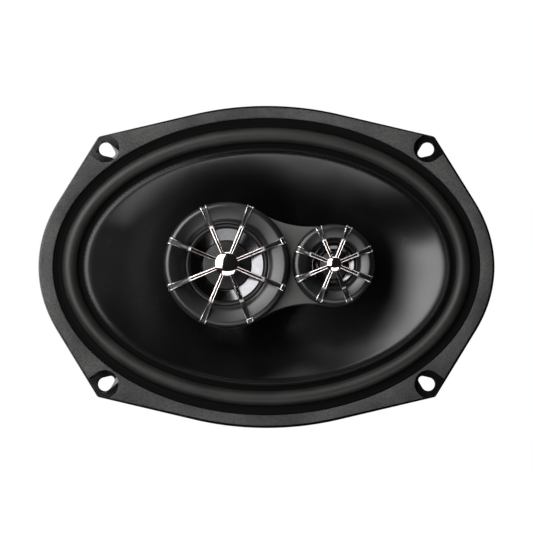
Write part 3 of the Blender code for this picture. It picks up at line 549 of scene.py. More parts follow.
# %% Prisms and cuts
def prism(name, outline, front, rear):
    """A solid between two depths; the outline is (x, z) points."""
    bm = bmesh.new()
    rings = []
    for y in (front, rear):
        rings.append([bm.verts.new(Vector((x, y, z)) * MM) for x, z in outline])
        bm.faces.new(rings[-1])
    for i in range(len(outline)):
        j = (i + 1) % len(outline)
        bm.faces.new((rings[0][i], rings[0][j], rings[1][j], rings[1][i]))
    bmesh.ops.recalc_face_normals(bm, faces=bm.faces)
    mesh = bpy.data.meshes.new(name)
    bm.to_mesh(mesh)
    bm.free()
    return add_object(name, mesh)


def joined(pieces):
    """Puts all the meshes in the first piece."""
    bm = bmesh.new()
    for piece in pieces:
        bm.from_mesh(piece.data)
    bm.to_mesh(pieces[0].data)
    bm.free()
    for piece in pieces[1:]:
        bpy.data.objects.remove(piece, do_unlink=True)
    return pieces[0]


def cut(made, tools):
    """Cuts the tools away and removes them."""
    tool = joined(tools)
    change = made.modifiers.new("cut", "BOOLEAN")
    change.operation = "DIFFERENCE"
    change.solver = "EXACT"
    change.object = tool
    applied(made)
    bpy.data.objects.remove(tool, do_unlink=True)
    return made


def soften(made, width, bends=2, angle=40):
    """Rounds the sharp edges of a mesh."""
    bevel = made.modifiers.new("soften", "BEVEL")
    bevel.width = width * MM
    bevel.segments = bends
    bevel.limit_method = "ANGLE"
    bevel.angle_limit = math.radians(angle)
    bevel.use_clamp_overlap = True
    return applied(made)


def slot_line(sx, sz):
    """A keyhole slot, wide at the ear and narrower towards the centre; sx and sz are signs."""
    head = np.array([sx * slot_x, sz * slot_z])
    toe = head - head / np.linalg.norm(head) * slot_run
    return hull_of(np.vstack([round_line(*head, slot_head, 56), round_line(*toe, slot_toe, 40)]))


print("cutting tools ready")

# %% [markdown]
# ## The basket
# The basket is pressed from one steel sheet: a flat flange, a bowl with eight windows, a ledge
# for the spider and a seat for the magnet. One skin is lofted over ovals that shrink into
# circles. The arms between the windows get a pressed rib, as thin sheet needs one. Then
# Solidify gives the sheet its thickness, and the windows and slots are cut.

# %% Loft the basket
# Half width, half height and depth of the bowl's oval at each bend, from front to rear
wall = [(109.5, 76.0, -sheet), (107.0, 74.2, 1.0), (105.5, 72.8, 5.0), (97.0, 70.0, 13.5),
        (81.0, 66.0, 24.0), (65.5, 62.2, 33.0), (61.0, 61.0, 35.0)]
# Radius and depth of the spider's ledge and of the magnet's seat behind it
ledge, ledge_round = [(61.0, 35.0), (50.0, 35.0), (44.0, 45.0), (42.0, 46.0), (21.5, 46.0)], 1.6
windows, window_span = 8, math.radians(33)
# Shares of the way down the bowl
window_middle, window_reach, rib_start, rib_end = 0.61, 0.22, 0.3, 0.92
rib_depth, rib_half_width = 1.1, 3.5
# A rib is pressed outwards and to the rear
rib_lean, rib_lean_length = 0.8, 1.28


def wall_at(share):
    """The bowl's oval at a share of the way down it."""
    place = min(max(share, 0.0), 1.0) * (len(wall) - 1)
    i = min(int(place), len(wall) - 2)
    return np.array(wall[i]) + (np.array(wall[i + 1]) - np.array(wall[i])) * (place - i)


def basket_loops():
    loops = [flange_loop(0.0, -sheet), flange_loop(0.4, -sheet), flange_loop(3.0, -sheet)]
    shares = np.linspace(0.0, 1.0, 31)
    turn = np.arctan2(ray[:, 1] * oval_a, ray[:, 0] * oval_b)
    # Arms sit half way between windows
    off = np.abs((turn / math.tau * windows) % 1.0 - 0.5) * math.tau / windows
    away = np.column_stack([ray[:, 0], np.full(len(ray), rib_lean), ray[:, 1]])
    for share in shares:
        a, b, y = wall_at(share)
        along = np.clip((share - rib_start) / (rib_end - rib_start), 0.0, 1.0)
        across = off * (a + b) / 2 / rib_half_width
        press = rib_depth * math.sin(math.pi * along) * np.exp(-across**2)
        loops.append(oval_loop(a, b, y) + away * (press / rib_lean_length)[:, None])
    return loops + [oval_loop(radius, radius, y) for radius, y in rounded(ledge, ledge_round)[1:]]


def front_first(bm):
    """Turns the skin so that the flange's faces look forwards, towards -Y."""
    bm.faces.ensure_lookup_table()
    if bm.faces[0].normal.y > 0:
        bmesh.ops.reverse_faces(bm, faces=bm.faces)


basket = edited(loft("basket_shell", basket_loops()), front_first)
wall_modifier = basket.modifiers.new("sheet", "SOLIDIFY")
wall_modifier.thickness = sheet * MM
wall_modifier.offset = -1.0
wall_modifier.use_even_offset = True
applied(basket)
print("basket skin:", len(basket.data.polygons), "faces")

# %% Cut the windows and the slots
def window_tool(index, count=40, rings=6, thickness=7.0):
    """A rounded patch of the wall, thick enough to cut through it."""
    middle = math.tau * index / windows
    loops = []
    for reach in np.linspace(0.02, 1.0, rings):
        loop = []
        for t in math.tau * np.arange(count) / count:
            c, s = math.cos(t), math.sin(t)
            # A squared circle has straight sides and round corners
            square = (c**4 + s**4) ** -0.25 * reach
            a, b, y = wall_at(window_middle + s * square * window_reach)
            angle = middle + c * square * window_span / 2
            loop.append((a * math.cos(angle), y, b * math.sin(angle)))
        loops.append(loop)

    def close_middle(bm):
        """Fills both rims, then takes the larger face away again."""
        rims = [edge for edge in bm.edges if edge.is_boundary]
        bmesh.ops.holes_fill(bm, edges=rims, sides=0)
        filled = [face for face in bm.faces if len(face.verts) == count]
        filled.sort(key=lambda face: face.calc_area())
        bmesh.ops.delete(bm, geom=[filled[-1]], context="FACES_ONLY")
        bmesh.ops.recalc_face_normals(bm, faces=bm.faces)

    made = edited(loft("window_tool", loops), close_middle)
    thick = made.modifiers.new("tool", "SOLIDIFY")
    thick.thickness = thickness * MM
    thick.offset = 0.0
    return outwards(applied(made))


cut(basket, [window_tool(i) for i in range(windows)])
cut(basket, [prism("slot", slot_line(sx, sz), -3, 3) for sx, sz in corners])
soften(basket, 0.22)
finish(basket, enamel, "basket_steel", "root", "basket")
print("basket cut:", len(basket.data.polygons), "faces")

# %% [markdown]
# ## The gasket
# A foam ring is glued on the flange, notched round the four screw slots so that the screw
# heads reach the steel. It could be one extruded outline, but its edges are rounded and its
# inner edge is stepped over the surround, so a closed outline is lofted all the way round.

# %% Loft the gasket and notch it
gasket_margin, gasket_reach, gasket_seat = 1.3, 7.5, 5.0
gasket_front, gasket_step, gasket_rear = -4.6, -2.6, -1.5


def gasket_loops():
    """The outer side follows the flange, the inner side the oval; insets are from each."""
    outer = [(gasket_margin, gasket_rear), (gasket_margin, gasket_front + 0.5),
             (gasket_margin + 0.15, gasket_front + 0.2), (gasket_margin + 0.6, gasket_front)]
    inner = [(gasket_reach - 0.5, gasket_front), (gasket_reach - 0.15, gasket_front + 0.2),
             (gasket_reach, gasket_front + 0.6), (gasket_reach, gasket_step),
             (gasket_seat, gasket_step), (gasket_seat, gasket_rear)]
    return ([flange_loop(inset, y) for inset, y in outer]
            + [oval_loop(oval_a - inset, oval_b - inset, y) for inset, y in inner])


def notch_line(sx, sz, radius=7.2, count=24, reach=20.0):
    """A half circle round a slot, open towards the ear."""
    away = np.array([sx * slot_x, sz * slot_z]) / math.hypot(slot_x, slot_z)
    heading = math.atan2(-away[1], -away[0])
    arc = round_line(sx * slot_x, sz * slot_z, radius, count, heading - math.pi / 2, math.pi)
    return np.vstack([arc, arc[::-count + 1] + away * reach])


gasket = loft("gasket", gasket_loops(), closed=True)
cut(gasket, [prism("notch", notch_line(sx, sz), -8, 0) for sx, sz in corners])
soften(gasket, 0.3, angle=50)
finish(gasket, foam, "gasket_foam", "root", "front_gasket")

# %% [markdown]
# ## The surround
# The surround is a half roll of rubber that lets the cone move. Its outer edge is clamped under
# the gasket, with a trough between gasket and roll that is darkened by painted shade, and its
# inner edge is cemented to the cone, so it has to stretch between two bodies. A bend share that
# follows the distance from the rim, not one straight direction, is worked out for it, but not
# used.

# %% Loft the half roll
roll_outer, roll_inner, roll_height, rubber_wall = 12.4, 20.2, 4.8, 0.8
trough_top, trough_foot, trough_y = 8.6, 10.0, -1.0
land_edge, land_y, tail_edge, tail_y = 6.5, -1.9, 25.5, -0.25
# Painted shade covers what lies outside the first inset and inside the second
shade_outer, shade_inner, shade_fade = 13.0, 19.5, 0.8


def roll_line(bends=26):
    line = [(land_edge, land_y), (trough_top, land_y), (trough_foot, trough_y),
            (roll_outer - 0.6, trough_y)]
    centre, half = (roll_outer + roll_inner) / 2, (roll_inner - roll_outer) / 2
    for i in range(bends + 1):
        t = math.pi * i / bends
        y = trough_y * (1 - i / bends) + tail_y * i / bends - roll_height * math.sin(t)
        line.append((centre - half * math.cos(t), y))
    return rounded(line + [(roll_inner + 0.9, tail_y), (tail_edge, tail_y)], 0.5, 2)


def oval_section(outline, count=300):
    """An (inset, y) outline carried round the oval, one loop for each of its points."""
    turn = math.tau * np.arange(count) / count
    return [np.column_stack([(oval_a - inset) * np.cos(turn), np.full(count, y),
                             (oval_b - inset) * np.sin(turn)]) for inset, y in outline]


def oval_inset(points):
    """How far each point lies inside the oval, in mm, by halving an interval."""
    low, high = np.zeros(len(points)), np.full(len(points), oval_b - 1.0)
    for _ in range(30):
        middle = (low + high) / 2
        level = (points[:, 0] / (oval_a - middle)) ** 2 + (points[:, 2] / (oval_b - middle)) ** 2
        low, high = np.where(level < 1, middle, low), np.where(level < 1, high, middle)
    return (low + high) / 2


surround = loft("surround", oval_section(wall_of(roll_line(), rubber_wall)), closed=True)
inset = oval_inset(points_of(surround))
# Painted shade in the troughs on both sides of the roll
roll_shade = np.maximum(shade_outer - inset, inset - shade_inner) / shade_fade
mark_painted_shade(surround, np.clip(roll_shade, 0.0, 1.0))
flexes(surround, rubber, "surround_rubber", "woofer_surround",
       lambda points: (oval_inset(points) - roll_outer) / (roll_inner - roll_outer))

# %% [markdown]
# ## The cone
# The cone is injected polypropylene with fine rings that stiffen it. It blends from the oval
# edge to the round coil, and its wall curves like a shallow horn, so each loop is a mix of
# oval and circle. A flat rim lies on the surround, darkened by painted shade. The rings are too
# fine to model, so they are a relief that follows the Sweep map.

# %% Loft the cone
edge_inset, edge_y, cone_rim = 22.3, -1.7, 3.7
neck_radius, neck_y, flare, cone_wall = 19.0, 30.0, 1.1, 0.8
rim_shade, rim_shade_fade = 24.0, 0.6


def cone_loop(share, lift, count=288):
    """One loop of the wall, a share of the way from the rim to the neck."""
    a, b = ((half - edge_inset - cone_rim) * (1 - share) + neck_radius * share
            for half in (oval_a, oval_b))
    y = edge_y + (neck_y - edge_y) * share**flare + lift
    turn = math.tau * np.arange(count) / count
    return np.column_stack([a * np.cos(turn), np.full(count, y), b * np.sin(turn)])


def cone_loops(steps=64):
    rim = [(0.0, 0.8), (0.0, 0.3), (0.1, 0.12), (0.4, 0.02), (0.9, 0.0), (1.7, 0.0),
           (2.3, 0.0), (3.1, 0.0)]
    loops = oval_section([(edge_inset + step, edge_y + y) for step, y in rim], 288)
    shares = (np.arange(steps) / (steps - 1)) ** 0.9
    loops += [cone_loop(share, 0.0) for share in shares]
    loops += [cone_loop(share, cone_wall) for share in shares[::-1]]
    return loops


cone = loft("cone", cone_loops(), closed=True)
# Painted shade darkens the cone's flat rim where it meets the surround
mark_painted_shade(cone, np.clip((rim_shade - oval_inset(points_of(cone))) / rim_shade_fade, 0.0, 1.0))
finish(cone, cone_plastic, "cone_plastic", "woofer", "woofer_cone", crease=40)
print("cone:", len(cone.data.polygons), "faces")

# %% [markdown]
# ## Stitches round the cone's edge
# The rim is sewn to the rubber with a fine dark thread. The same stitch repeats some two
# hundred times round the oval, which is a job for Geometry Nodes: a curve is cut into points of
# equal spacing and one small bead, stretched along the curve, is set on each. Instances would
# be lost in an export, so the tree ends by realising them.

# %% A tree that sews along a line
bead_sides, bead_rings = 8, 6


def new_tree(name, sockets):
    """An empty tree with its named inputs, and its input and output nodes."""
    tree = bpy.data.node_groups.new(name, "GeometryNodeTree")
    tree.interface.new_socket("Geometry", in_out="INPUT", socket_type="NodeSocketGeometry")
    for title, kind in sockets:
        tree.interface.new_socket(title, in_out="INPUT", socket_type="NodeSocket" + kind)
    tree.interface.new_socket("Geometry", in_out="OUTPUT", socket_type="NodeSocketGeometry")
    return tree, tree.nodes.new("NodeGroupInput"), tree.nodes.new("NodeGroupOutput")


def run_tree(made, tree, **values):
    """Runs the tree on the object, sets its inputs by identifier, and keeps a plain mesh."""
    change = made.modifiers.new(tree.name, "NODES")
    change.node_group = tree
    for item in tree.interface.items_tree:
        title = item.name.replace(" ", "_")
        if item.in_out == "INPUT" and title in values:
            change[item.identifier] = values[title]
    return applied(made)


def end_tree(tree, given, result, copies):
    """Makes the copies real, gives them their finish and returns the tree."""
    real = add_node(tree, "GeometryNodeRealizeInstances", {"Geometry": copies.outputs[0]})
    done = add_node(tree, "GeometryNodeSetMaterial",
                    {"Geometry": real.outputs[0], "Material": given.outputs["Finish"]})
    tree.links.new(done.outputs[0], result.inputs[0])
    return tree


def sewing_tree():
    tree, given, result = new_tree("sew_along", [
        ("Spacing", "Float"), ("Length", "Float"), ("Thread", "Float"), ("Finish", "Material")])
    line = add_node(tree, "GeometryNodeMeshToCurve", {"Mesh": given.outputs["Geometry"]})
    dots = add_node(tree, "GeometryNodeCurveToPoints",
                    {"Curve": line.outputs[0], "Length": given.outputs["Spacing"]},
                    mode="LENGTH")
    bead = add_node(tree, "GeometryNodeMeshUVSphere",
                    {"Segments": bead_sides, "Rings": bead_rings, "Radius": 0.5})
    shape = add_node(tree, "ShaderNodeCombineXYZ",
                     {"X": given.outputs["Thread"], "Y": given.outputs["Thread"],
                      "Z": given.outputs["Length"]})
    turn = add_node(tree, "FunctionNodeAlignRotationToVector",
                    {"Vector": dots.outputs["Tangent"]}, axis="Z")
    sewn = add_node(tree, "GeometryNodeInstanceOnPoints",
                    {"Points": dots.outputs["Points"], "Instance": bead.outputs["Mesh"],
                     "Rotation": turn.outputs[0], "Scale": shape.outputs[0]})
    return end_tree(tree, given, result, sewn)


def wire_loop(name, loop):
    """A closed line of edges for a tree to follow; points in mm."""
    mesh = bpy.data.meshes.new(name)
    edges = [(i, (i + 1) % len(loop)) for i in range(len(loop))]
    mesh.from_pydata((np.array(loop) * MM).tolist(), edges, [])
    return add_object(name, mesh)


seam_inset, seam_lift = 23.9, 0.15
seam = wire_loop("edge_stitches", oval_section([(seam_inset, edge_y - seam_lift)], 360)[0])
run_tree(seam, sewing_tree(), Spacing=2.4 * MM, Length=1.7 * MM, Thread=0.42 * MM,
         Finish=stitching)
finish(seam, stitching, "cone_plastic", "woofer")
print("stitches:", len(seam.data.polygons) // (bead_sides * bead_rings))

# %% [markdown]
# ## Spider, coil and felt
# Behind the cone a corrugated cloth disc, the spider, centres the coil in the magnet's gap. It
# is a wave turned about the axis, and it flexes like the surround. The coil is copper wire on
# a film tube; its turns are scallops in the outline. A felt ring keeps dust out of the gap.

# %% Turn the spider
spider_bore, spider_inner, spider_outer, spider_rim = 18.7, 20.5, 52.0, 58.5
spider_waves, spider_swing, spider_front, spider_rise = 3, 1.3, 32.5, 1.8
cloth_thickness = 0.6


def spider_line(steps=72):
    line = [(spider_bore, spider_front)]
    for i in range(steps + 1):
        share = i / steps
        radius = spider_inner + (spider_outer - spider_inner) * share
        swing = -spider_swing * math.sin(math.tau * spider_waves * share)
        line.append((radius, spider_front + spider_rise * share + swing))
    return line + [(spider_rim, spider_front + spider_rise)]


spider = turned("spider", wall_of(spider_line(), cloth_thickness), steps=160)
flexes(spider, cloth, "spider_cloth", "woofer_spider",
       lambda points: (spider_outer - np.hypot(points[:, 0], points[:, 2]))
       / (spider_outer - spider_inner))

# %% Turn the coil and the felt
wire_bulge = 0.12


def plain_ring(inner, outer, front, rear):
    return [(inner, front), (outer, front), (outer, rear), (inner, rear)]


def scallops(inner, outer, front, rear, turns):
    """A coil's outline: a flat bore, and one bulge for each turn of wire."""
    line = [(inner, rear), (inner, front)]
    for i in range(turns * 3 + 1):
        share = i / (turns * 3)
        bulge = abs(math.sin(math.pi * turns * share))
        line.append((outer - wire_bulge * (1 - bulge), front + (rear - front) * share))
    return line


coil_former = turned("coil_former", plain_ring(17.95, 18.35, 28.0, 60.0))
finish(coil_former, amber, "former_film", "woofer", "voice_coil_former")
coil = turned("coil", scallops(18.65, 19.25, 44.5, 56.5, 30), steps=96)
finish(coil, copper, "coil_copper", "woofer", "voice_coil_winding")
felt_ring = turned("felt_ring", rounded(plain_ring(7.2, 17.6, 29.0, 30.6), 0.5, closed=True),
                   steps=96)
finish(felt_ring, felt, "dust_felt", "woofer", "dust_ring")
print("coil, former and felt ride on the woofer")

# %% [markdown]
# ## The motor
# The motor is a sandwich of a front plate, a ferrite ring and a rear plate with its pole. Each
# is a turned outline with broken corners. The rivets that hold the plate to the basket are one
# shape set four times round the axis by a second tree, which also sets the guards' arms later.

# %% Turn the magnet and the plates
def chamfered_ring(inner, outer, front, rear, size):
    return rounded(plain_ring(inner, outer, front, rear), size, 2, True)


front_plate = turned("front_plate", chamfered_ring(19.6, 42.0, plate_front, plate_rear, 1.0))
finish(front_plate, zinc, "zinc_plate", "root", "top_plate")
magnet = turned("magnet", chamfered_ring(22.0, 47.0, magnet_front, magnet_rear, 1.5), steps=160)
finish(magnet, ferrite, "ferrite", "root", "ferrite_magnet")

yoke_line = [(6.5, 47.5), (6.5, 71.9), (10.5, 71.9), (10.5, yoke_rear), (24.0, yoke_rear),
             (24.6, yoke_rear - 0.5), (26.4, yoke_rear - 0.5), (27.0, yoke_rear),
             (39.5, yoke_rear), (42.0, yoke_rear - 1.5), (42.0, 71.1), (17.6, 71.1),
             (17.6, 48.3), (16.8, 47.5)]
yoke = turned("yoke", rounded(yoke_line, 0.5, 2, True), steps=160)
finish(yoke, zinc, "zinc_plate", "root", "pole_yoke")
print("motor:", round(yoke_rear - plate_front, 1), "mm deep")

# %% A tree that sets one shape round an axis
def around_tree():
    tree, given, result = new_tree("set_around", [
        ("Count", "Int"), ("Centre", "Vector"), ("First turn", "Float"), ("Step", "Float"),
        ("Finish", "Material")])
    dots = add_node(tree, "GeometryNodeMeshLine",
                    {"Count": given.outputs["Count"], "Start Location": given.outputs["Centre"],
                     "Offset": (0.0, 0.0, 0.0)})
    index = add_node(tree, "GeometryNodeInputIndex")
    steps = add_node(tree, "ShaderNodeMath",
                     {0: index.outputs[0], 1: given.outputs["Step"],
                      2: given.outputs["First turn"]}, operation="MULTIPLY_ADD")
    turn = add_node(tree, "ShaderNodeCombineXYZ", {"Y": steps.outputs[0]})
    copies = add_node(tree, "GeometryNodeInstanceOnPoints",
                      {"Points": dots.outputs[0], "Instance": given.outputs["Geometry"],
                       "Rotation": turn.outputs[0]})
    return end_tree(tree, given, result, copies)


set_around = around_tree()


def around(made, count, x, first, material):
    """Sets the piece count times round a line along Y at x; first is the first one's turn."""
    return run_tree(made, set_around, Count=count, Centre=(x * MM, 0.0, 0.0), First_turn=first,
                    Step=math.tau / count, Finish=material)


rivet_circle = 33.0
head = [(0.0, 44.4), (1.2, 44.42), (2.4, 44.7), (3.3, 45.3), (3.5, 45.7), (2.0, 45.7),
        (2.0, 51.7), (0.0, 51.7)]
rivets = turned("motor_rivets", head, x=rivet_circle, steps=20, ends_on_axis=True)
around(rivets, 4, 0.0, math.pi / 4, zinc)
finish(rivets, zinc, "zinc_plate", "root", *[f"motor_rivet_{i}" for i in range(1, 5)])
print("rivets:", len(rivets.data.polygons), "faces")

# %% [markdown]
# A nylon post runs through the pole and carries the bridge. It has rings of thread at its rear
# end, where a hexagon nut pulls it tight, and two screws from behind hold the bridge to it.

# %% Turn the post, the nut and the screws
post_bore, post_radius, post_flange, post_rear = 4.0, 6.2, 10.6, 76.1
thread_front, thread_pitch, thread_turns, thread_depth = 66.4, 0.9, 11, 0.35
screw_reach, screw_hole = 8.4, 1.3


def post_line():
    line = [(post_bore, 0.0), (post_flange, 0.0), (post_flange, 2.0), (post_radius, 2.0),
            (post_radius, thread_front - 0.4)]
    for i in range(thread_turns):
        crest = thread_front + thread_pitch * i
        line += [(post_radius, crest), (post_radius - thread_depth, crest + thread_pitch / 2)]
    return line + [(post_radius - 0.2, post_rear), (post_bore, post_rear)]


post = turned("post", post_line(), steps=72)
cut(post, [prism("screw_hole", round_line(x, 0.0, screw_hole, 16), -1, 4)
           for x in (-screw_reach, screw_reach)])
finish(post, post_nylon, "post_nylon", "root", "centre_post")

nut = prism("nut", round_line(0.0, 0.0, 9.2, 6), 72.2, 75.7)
cut(nut, [prism("bore", round_line(0.0, 0.0, 6.5, 64), 60, 90)])
soften(nut, 0.5, 3)
finish(nut, zinc, "zinc_plate", "root", "post_nut")

screw_line = [(0.0, -2.6), (1.0, -2.6), (1.0, 2.3), (1.9, 2.3), (1.9, 3.0), (1.6, 3.35),
              (1.2, 3.5), (0.0, 3.5)]
for i, x in enumerate((-screw_reach, screw_reach)):
    screw = turned(f"screw_{i + 1}", screw_line, x=x, steps=24, ends_on_axis=True)
    finish(screw, zinc, "zinc_plate", "root", f"bridge_screw_{i + 1}")
print("post, nut and two screws")

# %% [markdown]
# ## Terminals and the crossover
# A paper board on the ledge carries two blade terminals of different widths, so that the plus
# and minus wires can't be swapped, and two capacitors that keep the bass out of the small
# drivers. The blades are bent strips; the capacitors have a rolled crimp near the foot.

# %% Make the board and what stands on it
board_y, board_thickness = 36.5, 1.6
hole_x, hole_z = 10.0, 55.6
board = prism("board", [(-30.0, 52.4), (30.0, 52.4), (30.0, 67.0), (28.0, 69.0), (-28.0, 69.0),
                        (-30.0, 67.0)], board_y, board_y + board_thickness)
cut(board, [prism("hole", round_line(x, hole_z, 1.8, 20), 30, 42) for x in (-hole_x, hole_x)])
soften(board, 0.2)
finish(board, paper_board, "phenolic_board", "root", "terminal_board")


blade_foot, blade_tip, blade_low, blade_high, blade_wall = 38.8, 47.4, 58.8, 65.2, 0.8
# The hole in a blade, as a depth and as the top and length of the tool that cuts it
eye_y, eye_radius, eye_top, eye_length = 44.6, 0.9, 68, 6


def fill_ends(bm):
    ends = [edge for edge in bm.edges if edge.is_boundary]
    bmesh.ops.holes_fill(bm, edges=ends, sides=0)
    bmesh.ops.recalc_face_normals(bm, faces=bm.faces)


def blade(name, x, width, node):
    """A strip that lies on the board, bends through a right angle and stands up."""
    middle = rounded([(blade_foot, blade_low), (blade_foot, blade_high), (blade_tip, blade_high)],
                     1.2, 5)
    outline = wall_of(middle, blade_wall)
    sides = [np.column_stack([np.full(len(outline), x + side * width / 2), outline])
             for side in (-1, 1)]
    made = edited(loft(name, sides), fill_ends)
    # The hole goes through the standing part of the blade, so its tool is turned along Z
    tool = prism("hole", round_line(x, eye_y, eye_radius, 16), 0, 1)
    tool.data.transform(Matrix(((1, 0, 0, 0), (0, 0, 1, 0), (0, -eye_length, 0, eye_top * MM),
                                (0, 0, 0, 1))))
    cut(made, [outwards(tool)])
    soften(made, 0.12, 1, 50)
    finish(made, tinned, "tinned_brass", "root", node)


blade("blade_positive", -8.0, 6.3, "terminal_positive")
blade("blade_negative", 8.0, 4.8, "terminal_negative")

board_rivet = [(0.0, 35.2), (1.5, 35.2), (1.5, 38.4), (2.6, 38.4), (2.4, 38.85), (1.8, 39.15),
               (0.9, 39.28), (0.0, 39.3)]
for i, x in enumerate((-hole_x, hole_x)):
    small = turned(f"board_rivet_fine_{i + 1}", board_rivet, x, hole_z, 24, True)
    finish(small, tinned, "tinned_brass", "root", f"board_rivet_{i + 1}")


can_foot, can_z = 38.4, 61.5


def can_line(radius, top):
    """A can with a rolled groove near its foot and a rim round its top."""
    low = [(0.7, 0.0), (0.1, 0.5), (0.0, 1.2), (0.0, 2.4), (0.45, 2.9), (0.0, 3.4)]
    high = [(0.0, 1.0), (0.25, 0.3), (0.9, 0.0), (1.3, 0.25)]
    return ([(0.0, can_foot)] + [(radius - step, can_foot + rise) for step, rise in low]
            + [(radius - step, top - drop) for step, drop in high] + [(0.0, top - 0.25)])


for name, x, radius, top in (("midrange", -23.0, 5.0, 58.4), ("tweeter", 23.0, 4.0, 54.4)):
    can = turned(f"{name}_can", can_line(radius, top), x, can_z, 48, True)
    finish(can, shrink, "capacitor_sleeve", "root", f"{name}_capacitor")
print("board, two blades, two rivets and two capacitors")

# %% [markdown]
# ## Leads and wires
# The two tinsel leads carry the signal to the moving cone, so they bend between the board and
# the cone. Three thin wires run from the board down the back of the motor and into the post.
# Both ends of every wire go into something. A tube is a circle swept along a smooth route; the
# braid's strands follow the Sweep map.

# %% Sweep tubes along routes
lead_radius, wire_radius, wire_gap = 0.7, 0.66, 2.1


def tube(name, route, radius, sides=12, steps=8):
    line = np.array(smooth_line(route, steps))
    ahead = np.gradient(line, axis=0)
    ahead /= np.linalg.norm(ahead, axis=1)[:, None]
    side = np.cross(ahead, (1.0, 0.0, 0.0) if abs(ahead[:, 0]).max() < 0.9 else (0.0, 0.0, 1.0))
    side /= np.linalg.norm(side, axis=1)[:, None]
    up = np.cross(ahead, side)
    circle = round_line(0.0, 0.0, radius, sides)
    loops = [place + a * circle[:, :1] + b * circle[:, 1:] for place, a, b in zip(line, side, up)]
    # A point at each end closes the tube
    loops = [np.repeat(line[:1], sides, 0)] + loops + [np.repeat(line[-1:], sides, 0)]
    return loft(name, loops)


lead_top, lead_foot = 66.0, 42.0
for side, sign in (("positive", -1), ("negative", 1)):
    route = [(sign * x, y, z) for x, y, z in (
        (13.0, 35.2, 66.5), (15.0, 31.0, 66.0), (17.5, 26.0, 62.0), (17.5, 22.0, 54.0),
        (15.5, 19.0, 47.0), (14.0, 15.8, 41.8), (13.6, 13.2, 40.3))]
    lead = tube(f"lead_{side}", route, lead_radius)
    flexes(lead, braid, "tinsel", f"tinsel_lead_{side}",
           lambda points: (lead_top - points[:, 2]) / (lead_top - lead_foot))

for name, colour, x in (("common", "black", -wire_gap), ("midrange", "red", 0.0),
                        ("tweeter", "blue", wire_gap)):
    route = [(x, 38.7, 61.0), (x, 44.5, 60.0), (x, 50.0, 53.0), (x, 56.0, 49.4),
             (x, 66.0, 49.2), (x, 75.1, 48.0), (x, 78.3, 42.5), (x, 78.6, 28.0),
             (x, 78.7, 9.0), (x, 77.9, 3.0), (x, 74.1, 0.8), (x, 68.1, 0.6)]
    wire = tube(f"wire_{name}", route, wire_radius)
    finish(wire, sleeves[name], f"wire_{colour}", "root", f"{name}_wire")
print("two leads and three wires")

# %% [markdown]
# ## The bridge
# The bridge carries both small drivers in front of the cone. Its outline is two circles joined
# by a waist whose sides are arcs tangent to both. It is cut from a prism, because both of its
# faces are flat, and all of its edges are rounded as a moulding's are.

# %% Mould the bridge
web_front, bridge_front, bridge_rear, waist_radius = -13.0, -3.3, -0.3, 46.0
pocket_gap, wire_hole = 0.4, 3.6


def bridge_line(count=90, waist=40):
    """Two circles, and between them two arcs whose centres lie above and below."""
    span = tweeter_x - mid_x
    d1, d2 = mid_radius + waist_radius, tweeter_radius + waist_radius
    along = (span**2 + d1**2 - d2**2) / (2 * span)
    up = math.sqrt(d1**2 - along**2)
    turn1, turn2 = math.atan2(up, along), math.atan2(up, along - span)
    low = (mid_x + along, -up, waist_radius)
    high = (mid_x + along, up, waist_radius)
    return np.vstack([
        round_line(mid_x, 0.0, mid_radius, count, turn1, math.tau - 2 * turn1),
        round_line(*low, waist, math.pi - turn1, turn1 - turn2)[1:-1],
        round_line(tweeter_x, 0.0, tweeter_radius, count, -turn2, 2 * turn2),
        round_line(*high, waist, turn2 - math.pi, turn1 - turn2)[1:-1]])


bridge = prism("bridge_moulding", bridge_line(), web_front, bridge_rear)
cut(bridge, [prism("pocket", round_line(x, 0.0, radius + pocket_gap, 120), -18, bridge_front)
             for x, radius in ((mid_x, mid_radius), (tweeter_x, tweeter_radius))])
cut(bridge, [prism("hole", round_line(0.0, 0.0, wire_hole, 40), -9, 6)])
cut(bridge, [prism("hole", round_line(x, 0.0, screw_hole, 16), bridge_rear - 2.6, 6)
             for x in (-screw_reach, screw_reach)])
soften(bridge, 0.5, 3, 50)
finish(bridge, bridge_plastic, "bridge_abs", "root", "bridge", crease=45)
print("bridge:", len(bridge.data.polygons), "faces")

# %% [markdown]
# ## Pods and small drivers
# Each small driver sits in a turned cup. Its front has a rounded outer edge, a wide face that
# slopes gently inwards and a thin lip over the edge of the diaphragm. Both are built by one
# function from their own measures, so they stay alike.

# %% Turn the housings
pod_round, pod_dome, pod_slope, pod_chamfer, pod_wall = 2.6, 2.4, 0.3, 1.2, 2.0
lip_front, lip_rear, lip_depth = 3.6, 4.6, 3.0


def pod_line(radius, throat, floor_hole, bends=14):
    """An outer round, a wide slope inwards and a lip that hooks in at the throat."""
    crest = radius - pod_round
    line = [(floor_hole, pod_rear), (radius - pod_chamfer, pod_rear),
            (radius, pod_rear - pod_chamfer), (radius, pod_front + pod_dome)]
    for i in range(1, bends + 1):
        t = math.pi / 2 * i / bends
        line.append((crest + pod_round * math.cos(t),
                     pod_front + pod_dome * (1 - math.sin(t))))
    slope_end = throat + 2.3
    line += rounded([(crest - 0.3, pod_front + 0.02),
                     (slope_end, pod_front + pod_slope * (crest - slope_end)),
                     (throat + 0.4, pod_front + lip_front - 0.2),
                     (throat, pod_front + lip_front)], 0.8, 3)
    return line + [(throat, pod_front + lip_rear), (throat + lip_depth, pod_front + lip_rear),
                   (throat + lip_depth, pod_rear - pod_wall), (floor_hole, pod_rear - pod_wall)]


for name, x, radius, throat, hole in (("midrange", mid_x, mid_radius, 21.5, 13.4),
                                      ("tweeter", tweeter_x, tweeter_radius, 11.6, 10.0)):
    pod = turned(f"{name}_pod", pod_line(radius, throat, hole), x, steps=160)
    finish(pod, pod_plastic, "pod_abs", "root", f"{name}_housing")
    print(f"{name} housing: {2 * radius:.0f} mm wide, throat {2 * throat:.0f} mm")

